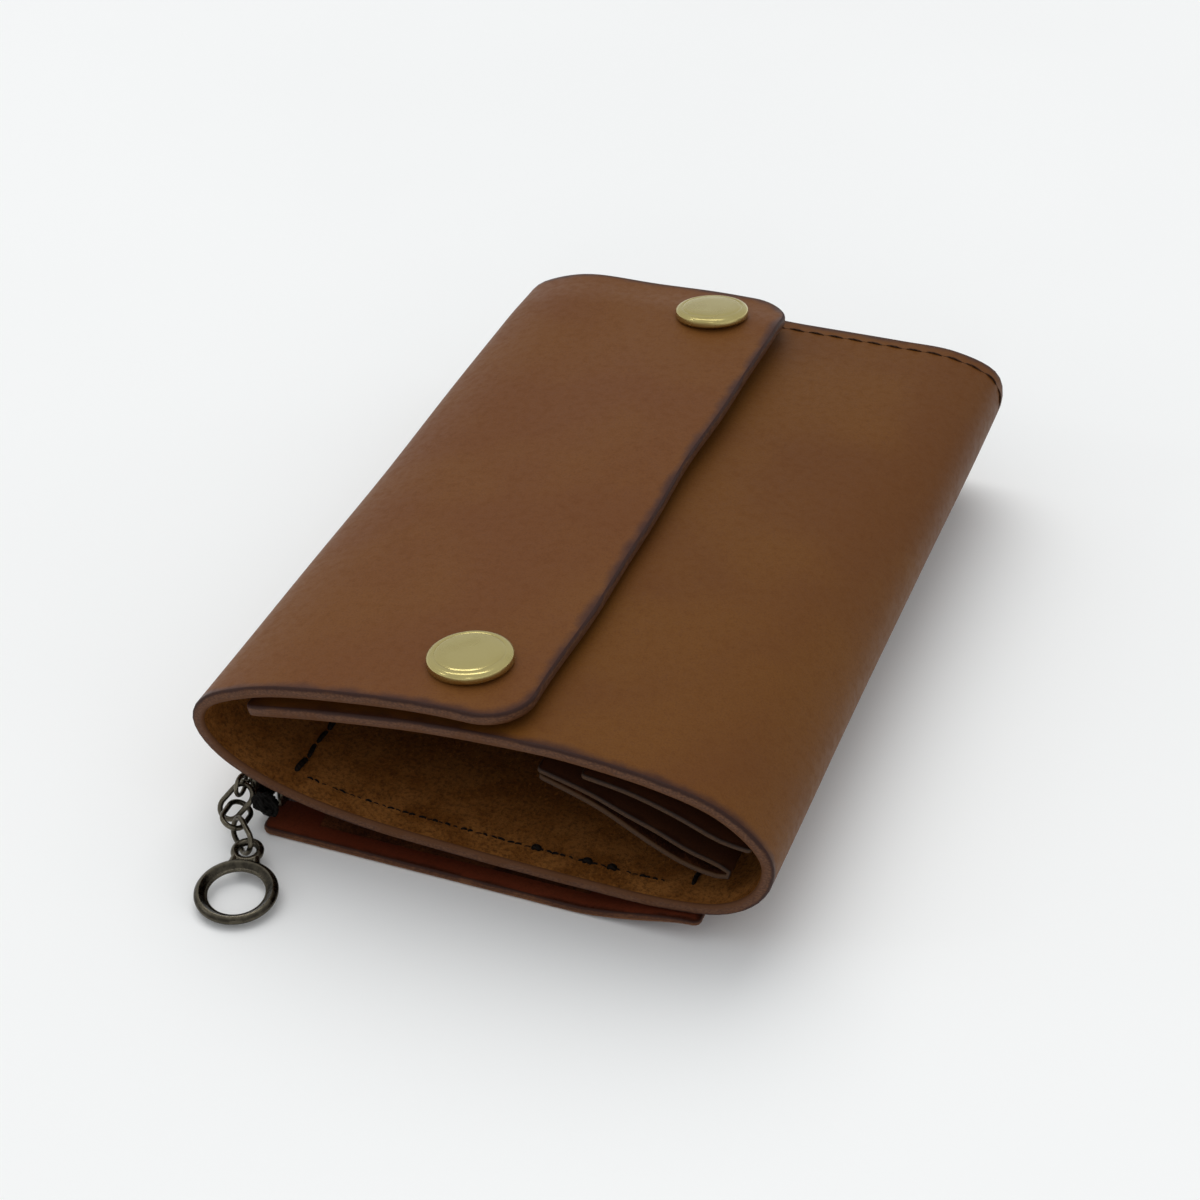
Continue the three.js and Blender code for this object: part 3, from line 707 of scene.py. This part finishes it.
def floor_finish():
    """Pale matt paper."""
    f = Finish("floor_pale", Specular_IOR_Level=0.2)
    tone = f.noise(300, 3, 0.5)
    color = f.mix(f.spread(tone, 0.3, 0.7), srgb(243, 244, 244), srgb(246, 247, 247))
    return f.finish(color, 0.8)


flap_grain = grain_leather("tan_leather_flap", srgb(108, 67, 28), srgb(104, 62, 27), srgb(86, 47, 20),
                           srgb(50, 26, 24), 2.4, 0.5)
# The front panel is the same strip of leather as the flap, folds and back panel; its copy of the colours is
# darker and less blue: painted shade under the overhanging flap.
front_grain_painted_shade = grain_leather("tan_leather_front_painted_shade", srgb(104, 64, 20), srgb(98, 58, 20), srgb(84, 46, 16),
                            srgb(50, 26, 22), 2.4, 0.5)
tan_edge = cut_edge("tan_leather_edge", srgb(104, 70, 48), srgb(46, 25, 20), srgb(84, 50, 24))
# The flesh sides' darkest colour goes into the nap and into the painted shade away from the edges.
tan_flesh = flesh_side("tan_leather_flesh", srgb(150, 98, 48), srgb(116, 70, 28), srgb(50, 25, 11))
dark_grain = grain_leather("dark_leather_grain", srgb(104, 48, 28), srgb(88, 37, 20), srgb(60, 24, 13),
                           srgb(48, 24, 16), 1.2, 0.42)
dark_edge = cut_edge("dark_leather_edge", srgb(96, 60, 38), srgb(46, 22, 15), srgb(124, 84, 54))
dark_flesh = flesh_side("dark_leather_flesh", srgb(84, 46, 24), srgb(48, 24, 13), srgb(28, 13, 7))
card_grain = grain_leather("card_leather_grain", srgb(66, 37, 21), srgb(56, 30, 17), srgb(40, 21, 12),
                           srgb(44, 22, 14), 1.2, 0.5)
card_edge = cut_edge("card_leather_edge", srgb(68, 45, 26), srgb(30, 17, 11), srgb(66, 43, 22))
brass = brass_finish()
gunmetal = gunmetal_finish()
black_tape = tape_finish()
tape_knot = thread_finish("zip_tape_knot", srgb(9, 8, 7), srgb(21, 19, 17))
dark_thread = thread_finish("thread_dark_brown", srgb(38, 23, 15), srgb(64, 40, 24))
black_thread = thread_finish("thread_black", srgb(10, 7, 5), srgb(26, 18, 13))


# ---------------------------------------------------------------- the shell
def far_share(y):
    """How much of the far end's shift the case has at y."""
    return smoothstep((y - SHIFT_FROM) / (FAR - SHIFT_FROM))


def shell_shape(t, y):
    """The closed case's own unevenness: the far end's shift, and shallow waves in the leather."""
    shift, _ = spline(FAR_SHIFT, t)
    wave = 0.13 * np.sin(y / 17 + 0.9 * t) + 0.1 * np.sin(y / 9.5 - 0.55 * t + 1.3)
    corner = smoothstep((y - FAR + DROOP["long"]) / DROOP["long"]) * smoothstep(1 - t / DROOP["until"])
    return shift * far_share(y)[..., None] + np.stack([0 * wave, wave - DROOP["depth"] * corner], -1)


def shell_trim(s, y):
    """The flap's free edge isn't quite straight: it is cut back by up to 0.8 mm in places."""
    cut = 0.4 + 0.25 * np.sin(y / 13 + 1) + 0.15 * np.sin(y / 5.7)
    return s + cut * np.clip(1 - s / 25, 0, 1) ** 2


shell = Sheet(SHELL_LINE, HIDE, NEAR, FAR, (FLAP_CORNER, FRONT_CORNER), EDGE, 1.7, shell_shape, shell_trim)


def build_shell():
    cuts = [shell.way(5), shell.way(7), shell.way(MID_BACK)]
    names = ["leather_flap", "leather_left_fold", "leather_back_panel", "leather_front_panel"]
    flap, fold, back, front = shell.build(names, cuts, [flap_grain, tan_edge, tan_flesh], "tan_leather")
    # the front panel gets the darker copy of the leather, with painted shade
    front.data.materials[0] = front_grain_painted_shade

    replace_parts(flap, "flap")
    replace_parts(fold, "flap_fold_upper_strip", "flap_fold_lower_strip")
    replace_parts(back, "back_panel")
    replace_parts(front, "front_panel")
    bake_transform(flap)
    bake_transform(fold)
    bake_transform(back)
    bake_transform(front)


# ---------------------------------------------------------------- snaps
def snap_frame(s, y):
    """The frame on the shell's outer face at s and y, with its Z out of the leather."""
    return placed(shell.at(s, y, 0), shell.outward(s, y))


def arc(centre, radius, start, end, steps):
    """Points on an arc in radius and height, angles in degrees."""
    turn = np.radians(np.linspace(start, end, steps + 1))
    return [(centre[0] + radius * math.cos(a), centre[1] + radius * math.sin(a)) for a in turn]


def cap_profile(radius):
    """A foot, an upright wall and a rolled rim, then a fine groove round a slightly domed disc."""
    wall_low, wall_high = CAP["wall"]
    profile = [(0, CAP["end"]), (CAP["barrel"], CAP["end"]), (CAP["barrel"], CAP["low"])]
    profile.append((radius - 0.35, CAP["low"]))
    profile += arc((radius - CAP["foot"], wall_low), CAP["foot"], -70, 0, 5)
    wide, high = CAP_RIM["wide"], CAP_RIM["high"]
    turns = np.radians(np.arange(8, 85, 8))
    profile += [(radius - wide + wide * math.cos(a), wall_high + high * math.sin(a)) for a in turns]
    profile += [(radius - inset, height) for inset, height in CAP_GROOVE]
    return [*profile, (radius * 0.4, CAP_DOME[0]), (0, CAP_DOME[1])]


def socket_profile():
    hole, mouth, radius = 2.3, 3.0, 5.8
    top, roof, bottom = -1.7, -2.25, -3.5
    inner, outer = 0.5, 0.6  # roundings
    profile = [(hole, top), (hole, roof), *arc((mouth + inner, bottom + inner), inner, 180, 270, 4)]
    profile += [(radius - outer, bottom), *arc((radius - outer, bottom + outer), outer, -90, 0, 5)]
    return [*profile, (radius, top), (hole, top)]


def stud_profile():
    hole, low, high = 1.6, -0.1, 1.5
    flange = [*arc((4.6, 0.0), 0.35, -90, 90, 5), (2.5, 0.4)]
    knob = [*arc((2.3, 0.95), 0.25, -90, 40, 5), *arc((2.1, 1.2), 0.3, 40, 90, 4)]
    return [(hole, low), *flange, *knob, (hole, high), (hole, low)]


def post_profile():
    """A flange behind the leather, with a barrel through it."""
    barrel, high, rounding = 1.3, 1.2, 0.25
    flange = [(0, -HIDE - 0.75), (3.4, -HIDE - 0.7), *arc((4.2, -HIDE - 0.35), 0.33, -80, 80, 5)]
    end = [*arc((barrel - rounding, high), rounding, 0, 90, 4), (0, high + rounding)]
    return [*flange, (barrel, -HIDE), (barrel, high), *end]


def build_snap(label):
    low, high = cad_box(f"snap_cap_{label}")
    x, y, _ = (low + high) / 2
    on_flap = snap_frame(shell.way_at(x, 0, HINGE_TOP), y)
    on_front = snap_frame(shell.way_at(x, 20, FRONT_END), y)
    rotation, origin = on_flap
    askew = placed(origin, unit(rotation[:, 2] + CAP["lean"]))
    for kind, body, profile, place, steps in (
        ("cap", "flap", cap_profile((high[1] - low[1]) / 2), askew, 96),
        ("socket", "flap", socket_profile(), on_flap, 64),
        ("stud", "front", stud_profile(), on_front, 56),
        ("post", "front", post_profile(), on_front, 48),
    ):
        part = Build()
        part.lathe(profile, place, steps)
        piece = part.piece(f"{kind}_{label}", body, "brass", brass, 50)
        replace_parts(piece, f"snap_{kind}_{label}")


# ---------------------------------------------------------------- card pockets
def build_cards():
    def shape(t, y):
        wave = 0.15 * np.sin(y / 21 + t)
        return np.stack([0 * wave, wave], -1)

    leather = [card_grain, card_edge, dark_flesh]
    for name, line in (("card_divider", DIVIDER_LINE), ("card_sleeve", SLEEVE_LINE)):
        inset = CARD_INSET[name]
        sheet = Sheet(line, THIN_HIDE, NEAR + inset, FAR - inset, (0.8, 0.8), 0.3, 2.2, shape)
        (piece,) = sheet.build([f"leather_{name}"], [], leather, "inner_leather")
        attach(piece, "front")
        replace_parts(piece, name)


# ---------------------------------------------------------------- the zipped pocket
def pocket_top(x):
    """The height of the pocket panel's upper face."""
    share = (x - FLAT_END) / (pocket_high[0] - FLAT_END)
    return POCKET_HIDE + POCKET_RISE * float(smoothstep(share))


def pocket_line():
    """The pocket panel's top face, from right to left, so that the leather lies under it."""
    xs = [*np.linspace(pocket_high[0], FLAT_END, 8), *np.linspace(FLAT_END, pocket_low[0], 6)[1:]]
    return [(float(x), pocket_top(x)) for x in xs]


def pocket_taper(s):
    """The share of its full thickness that the panel has at s."""
    return POCKET_TIP / POCKET_HIDE + (1 - POCKET_TIP / POCKET_HIDE) * smoothstep(s / POCKET_THIN)


def pocket_shape(t, y):
    """Shallow waves in the rising edge."""
    wave = 0.22 * np.sin(y / 8 + 0.6) * np.clip(1 - t / 5, 0, 1)
    return np.stack([0 * wave, wave], -1)


pocket = Sheet(pocket_line(), POCKET_HIDE, pocket_low[1], pocket_high[1], (1.2, POCKET_CORNER), 0.4, 2.0,
               pocket_shape, taper=pocket_taper)


def build_pocket():
    leather = [dark_grain, dark_edge, dark_grain]
    (piece,) = pocket.build(["leather_pocket_panel"], [], leather, "inner_leather")
    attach(piece, "case")
    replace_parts(piece, "pocket_panel")


def back_underside(x):
    """The height of the back panel's outer face, under which the pocket hangs."""
    s = shell.way_at(x, HINGE_LOW, HINGE_FRONT)
    return float(shell.at(s, 0, 0)[2])


def build_gusset(label, inward):
    """A thin strip folded inwards along its middle, which closes one end of the pocket."""
    low, high = cad_box(f"pocket_gusset_{label}")
    outer = low[1] if inward > 0 else high[1]
    depth = high[1] - low[1] - GUSSET["hide"]
    share = np.linspace(0, 1, 9)
    y = outer + inward * (GUSSET["inset"] + depth * np.sin((1 - abs(2 * share - 1)) * math.pi / 2) ** 1.15)
    rings = []
    for x in np.linspace(low[0], high[0], 28)[::inward]:
        bottom = pocket_top(x) + GUSSET["clear_low"]
        top = back_underside(x) - GUSSET["clear_high"]
        face = np.stack([np.full(len(share), x), y, bottom + (top - bottom) * share], 1)
        rings.append(np.concatenate([face, (face + (0, inward * GUSSET["hide"], 0))[::-1]]))
    strip = Build()
    strip.loft(rings)
    piece = strip.piece(f"leather_gusset_{label}", "case", "inner_leather", dark_flesh, 60)
    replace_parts(piece, f"pocket_gusset_{label}")


# ---------------------------------------------------------------- the zip
def build_teeth(row, up):
    """One row of teeth, whose tips point up (1) or down (-1)."""
    low, high = cad_box(f"zip_teeth_{row}")
    pitch, long = 1.35, 0.82
    nub_high, half, inset = 0.28, 0.5, 0.15
    tip = low[2] if up < 0 else high[2]
    nub_from, nub_to = sorted((tip, tip + up * nub_high))
    middle = (low[0] + high[0]) / 2
    teeth = Build()
    for k in range(int((high[1] - low[1]) // pitch)):
        y = low[1] + (k + (0.25 if up < 0 else 0.75)) * pitch
        teeth.block((low[0], y, low[2]), (high[0], y + long, high[2]), 0.18)
        teeth.block((middle - half, y + inset, nub_from), (middle + half, y + long - inset, nub_to), 0.08)
    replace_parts(teeth.piece(f"teeth_{row}", "case", "dark_metal", gunmetal, 30), f"zip_teeth_{row}")


def build_tape(row):
    """A tape stands up behind its teeth, then bends and lies along the leather."""
    low, high = cad_box(f"zip_tape_{row}")
    thick, reach = 0.5, (5.25, 9.6)
    middle = low[0] + thick / 2
    if row == "upper":
        line = [(middle, low[2]), (middle, low[2] + 0.5)]
        run = (middle + x for x in (1.25, *reach))
        line += [(x, back_underside(x) - 0.45) for x in run]
        line = line[::-1]
    else:
        line = [(middle, high[2]), (middle, high[2] - 0.6)]
        line += [(middle + x, POCKET_HIDE + 0.32) for x in (1.65, *reach)]
    tape = Sheet(line, thick, low[1], high[1], (0.4, 0.4), 0.15, 2.2)
    (piece,) = tape.build([f"tape_{row}"], [], [black_tape] * 3, "black_tape")
    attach(piece, "case")
    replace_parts(piece, f"zip_tape_{row}")


def build_zip():
    build_teeth("upper", -1)
    build_teeth("lower", 1)
    build_tape("upper")
    build_tape("lower")
    stop = Build()
    stop.block(*cad_box("zip_end_stop"), 0.35)
    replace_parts(stop.piece("end_stop", "case", "dark_metal", gunmetal, 30), "zip_end_stop")


def build_tape_end():
    """The tapes' ends, folded back and sewn together into a small lump beside the chain."""
    lump = Build()
    turn = np.arange(20) / 20 * 2 * math.pi
    for k in range(KNOT["loops"]):
        middle = np.array(KNOT_MIDDLES[k % 2])
        up = unit(rng.normal(size=3))
        rotation, _ = placed((0, 0, 0), up, unit(rng.normal(size=3)))
        size = np.array([*KNOT["size"], 0]) * rng.uniform(0.7, 1.05)
        loop = np.stack([np.cos(turn), np.sin(turn), 0 * turn], 1) * size
        loop += KNOT["bent"] * np.sin(3 * turn + k)[:, None]
        strewn = rng.normal(size=3) * KNOT["strewn"]
        lump.tube(loop @ rotation.T + middle + strewn, KNOT["wire"], 8, True, up)
    half = KNOT["core"]
    core = [(0, -half), *arc((0, 0), half, -65, 65, 8), (0, half)]
    lump.lathe(core, placed(middle, (0.2, -0.9, 0.3), (0, 0.3, 1)), 20)
    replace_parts(lump.piece("tape_end", "case", "black_tape", tape_knot), "zip_tape_end")


def build_slider():
    """Two plates with lips round the tapes' edges, a tongue between the rows, and the crown outside."""
    zip_low, zip_high = cad_box("zip_teeth_upper")
    lower, _ = cad_box("zip_teeth_lower")
    x, z = (zip_low[0] + zip_high[0]) / 2, (lower[2] + zip_high[2]) / 2
    near, far = -74.8, -65.8
    outer, outer_in, inner_in, inner = x - 3.4, x - 2.3, x + 1.8, x + 2.9
    reach, inset = 3.15, 2.2  # half heights of the outer and the inner plate
    lip, lip_short, sunk = 0.5, 0.2, 0.3
    slider = Build()
    slider.block((outer, near, z - reach), (outer_in, far, z + reach), 0.35)
    for low in (z - reach, z + reach - lip):
        slider.block((outer_in - sunk, near + lip_short, low), (x - 0.7, far - lip_short, low + lip), 0.15)
    slider.block((inner_in, near, z - inset), (inner, far, z + inset), 0.3)
    tongue = (outer_in - sunk, far - 3, z - 0.2), (inner_in + sunk, far, z + 0.2)
    slider.block(*tongue, 0.08)
    x, y, z = LOOP["middle"]
    crown = [(radius, z + height) for radius, height in CROWN]
    slider.lathe([*crown, crown[0]], (np.eye(3), np.array([x, y + LOOP["radius"], 0])), 32)
    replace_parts(slider.piece("slider", "slider", "dark_metal", gunmetal, 40), "zip_slider")

    turn = np.arange(40) / 40 * 2 * math.pi
    circle = np.stack([0 * turn, np.cos(turn), np.sin(turn)], 1) * LOOP["radius"]
    loop = Build()
    loop.tube(circle + LOOP["middle"], LOOP["wire"] / 2, 12, True, (1, 0, 0))
    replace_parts(loop.piece("loop", "pull_loop", "dark_metal", gunmetal), "pull_loop")


# ---------------------------------------------------------------- chain and ring
def settled(along, facing):
    """The rotation that turns X to along, and Z as near to facing as it goes."""
    x = unit(along)
    z = unit(np.asarray(facing) - np.dot(facing, x) * x)
    return np.stack([x, np.cross(z, x), z], 1)


def build_chain():
    half = (LINK["width"] - LINK["wire"]) / 2
    run = (LINK["length"] - LINK["width"]) / 2
    for number, (middle, along, facing) in enumerate(LINKS, 1):
        rotation = settled(along, facing)
        turn = np.radians(np.linspace(-90, 90, 17))
        end = np.stack([run + half * np.cos(turn), half * np.sin(turn), 0 * turn], 1)
        path = np.concatenate([end, -end * (1, 1, -1)])
        link = Build()
        link.tube(path @ rotation.T + middle, LINK["wire"] / 2, 14, True, rotation[:, 2])
        piece = link.piece(f"link_{number}", f"link_{number}", "dark_metal", gunmetal)
        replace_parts(piece, f"chain_link_{number}")


def ring_profile():
    """A band that is round outside, with a step on its upper side and a bevel inside."""
    r, w = RING["radius"], RING["wire"] / 2
    profile = [*arc((r + w * 0.5, 0.1), w * 0.5, -80, 60, 7), (r + w * 0.52, w * 0.8)]
    profile += [(r + w * 0.2, w * 0.86), (r - w * 0.1, w * 0.55), (r - w * 0.55, w * 0.12)]
    profile += arc((r - w * 0.72, -w * 0.2), w * 0.28, 70, 250, 6)
    return [*profile, (r - w * 0.2, -w * 0.7), (r + w * 0.3, -w * 0.75), profile[0]]


def build_ring():
    heading, tilt = math.radians(90 + RING["heading"]), math.radians(RING["tilt"])
    flat = math.cos(tilt)
    rotation = settled((math.cos(heading) * flat, math.sin(heading) * flat, math.sin(tilt)), (0, 0, 1))
    up, middle = rotation[:, 2], np.array(RING["middle"])
    ring = Build()
    ring.lathe(ring_profile(), (rotation, middle), 120)
    turn = np.arange(48) / 48 * 2 * math.pi
    reach, radius = LUG["reach"], LUG["radius"]
    loop = np.stack([reach + radius * np.cos(turn), radius * np.sin(turn), 0 * turn], 1)
    ring.tube(loop @ rotation.T + middle, LUG["wire"] / 2, 14, True, up)
    starts = (reach, RING["radius"], RING["radius"])
    for side in (-1, 1):
        neck = np.array([(start + past, side * out, 0) for start, (past, out, _) in zip(starts, NECK)])
        ring.tube(neck @ rotation.T + middle, [thick for _, _, thick in NECK], 12, up=up)
    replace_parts(ring.piece("ring", "ring", "dark_metal", gunmetal, 50), "pull_ring")


# ---------------------------------------------------------------- stitches
def stitch(build, surface, start, end, depth, radius, sink=0.35):
    """One stitch over a face, from hole to hole: (s, y) to (s, y)."""
    steps = 9
    share = np.linspace(0, 1, steps)
    s = start[0] + (end[0] - start[0]) * share
    y = start[1] + (end[1] - start[1]) * share
    side = -1 if depth == 0 else 1
    lift = radius * 0.75 * np.sin(np.pi * share) ** 0.45 - sink * (1 - np.sin(np.pi * share) ** 0.6)
    path = surface.at(s, y, depth + side * lift)
    thick = radius * (0.55 + 0.45 * np.sin(np.pi * share) ** 0.4)
    up = surface.outward(np.array([s[4]]), np.array([y[4]]))[0]
    build.tube(path, thick, 8, up=up, flat=0.8)


def build_front_seam():
    """Slightly slanting stitches in a row, over the thread that runs below them."""
    seam = Build()
    start, end = shell.way(HINGE_FRONT + 0.08), shell.way(24.4)
    y = FAR - SEAM_INSET
    for k in range(int((end - start) / STITCH)):
        s = start + k * STITCH
        slant = 0.14 + rng.uniform(-0.05, 0.05)
        stitch(seam, shell, (s + 0.1, y - slant), (s + STITCH - 0.1, y + slant), 0, 0.22, 0.3)
    along = np.linspace(start, end, 90)
    seam.tube(shell.at(along, np.full(90, y), 0.12), 0.17, 6, up=(0, 1, 0))
    piece = seam.piece("stitches_front", "front", "dark_thread", dark_thread)
    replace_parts(piece, "front_seam_thread")


def build_pocket_seams():
    """The pocket's seam on the back panel's inner face: broken along its long sides, thick along its ends."""
    left, right = (shell.way_at(x, HINGE_LOW, HINGE_FRONT) for x in (-36, 37.6))
    inset = SEAM_INSET + POCKET_SEAM_IN
    for label, y in (("near", NEAR + inset), ("far", FAR - inset)):
        seam = Build()
        for k in range(int((right - left - 4) / STITCH)):
            s = left + 2.5 + k * STITCH + rng.uniform(-0.4, 0.4)
            for part in range(3):
                a = s + part * STITCH / 3 + rng.uniform(-0.2, 0.2)
                dy = rng.uniform(-0.25, 0.25)
                thick = rng.uniform(0.1, 0.26)
                stitch(seam, shell, (a, y + dy), (a + rng.uniform(0.7, 1.5), y - dy * 0.6), HIDE, thick, 0.2)
        for back in KNOTS[label]:
            a = right - back
            for side in (-0.2, 0.2):
                stitch(seam, shell, (a, y + side), (a + 1.4, y - side), HIDE, 0.55, 0.25)
        piece = seam.piece(f"stitches_pocket_{label}", "case", "dark_thread", black_thread)
        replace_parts(piece, f"pocket_seam_thread_{label}")
    for label, s in (("left", left), ("right", right)):
        seam = Build()
        for k in range(int((FAR - NEAR - 2 * SEAM_INSET - 2) / STITCH)):
            y = NEAR + inset + k * STITCH + 0.2
            dx = rng.uniform(-0.3, 0.3)
            thick = 0.5 + rng.uniform(-0.08, 0.1)
            stitch(seam, shell, (s + dx, y), (s - dx, y + STITCH - 0.4), HIDE, thick, 0.25)
        piece = seam.piece(f"stitches_pocket_{label}", "case", "dark_thread", black_thread)
        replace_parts(piece, f"pocket_seam_thread_{label}")


# ---------------------------------------------------------------- stage, light and camera
def lamp(name, kind, location, energy, **settings):
    """A light at a place in metres, which points at the origin."""
    light = bpy.data.lights.new(name, kind)
    light.energy = energy
    for key, value in settings.items():
        setattr(light, key, value)
    holder = bpy.data.objects.new(name, light)
    holder.location = location
    holder.rotation_euler = (-Vector(location)).to_track_quat("-Z", "Y").to_euler()
    bpy.context.scene.collection.objects.link(holder)
    return holder


def build_stage():
    half = 12000
    corners = [(-half, -half, 0), (half, -half, 0), (half, half, 0), (-half, half, 0)]
    floor = mesh_object("floor", corners, [[0, 1, 2, 3]], materials=[floor_finish()])
    floor.location.z = cad_low.z - 0.0001

    world = bpy.data.worlds.new("studio")
    world.use_nodes = True
    world.node_tree.nodes["Background"].inputs["Color"].default_value = (0.97, 0.985, 1, 1)
    world.node_tree.nodes["Background"].inputs["Strength"].default_value = 0.64
    bpy.context.scene.world = world

    key = lamp("key", "SUN", (-0.6, 1.0, 1.75), 1.36, angle=math.radians(58), color=(1, 0.99, 0.97))
    key.visible_glossy = False
    lamp("fill", "AREA", (0.5, -1.9, 0.8), 1.1, shape="SQUARE", size=0.22)
    lamp("glint", "AREA", (-1.6, -0.9, 1.1), 0.9, shape="SQUARE", size=0.22)
    strip = lamp("strip", "AREA", (-0.25, 0.02, 1.2), 2.2, shape="RECTANGLE", size=1.3, size_y=0.14)
    strip.rotation_euler = (0, 0, 0)  # straight down; it only gives the metal its highlights
    strip.visible_diffuse = False


def build_camera():
    camera = bpy.data.cameras.new("camera")
    camera.sensor_width = 36
    camera.lens = 74.36
    holder = bpy.data.objects.new("camera", camera)
    holder.location = (0.1306, -0.3670, 0.2853)
    holder.rotation_euler = Vector((-0.2846, 0.7628, -0.5807)).to_track_quat("-Z", "Y").to_euler()
    bpy.context.scene.collection.objects.link(holder)
    bpy.context.scene.camera = holder


build_camera()
build_shell()
build_snap("near")
build_snap("far")
build_cards()
build_pocket()
build_gusset("near", 1)
build_gusset("far", -1)
build_zip()
build_tape_end()
build_slider()
build_chain()
build_ring()
build_front_seam()
build_pocket_seams()
build_stage()
bpy.context.scene.view_settings.view_transform = "Standard"
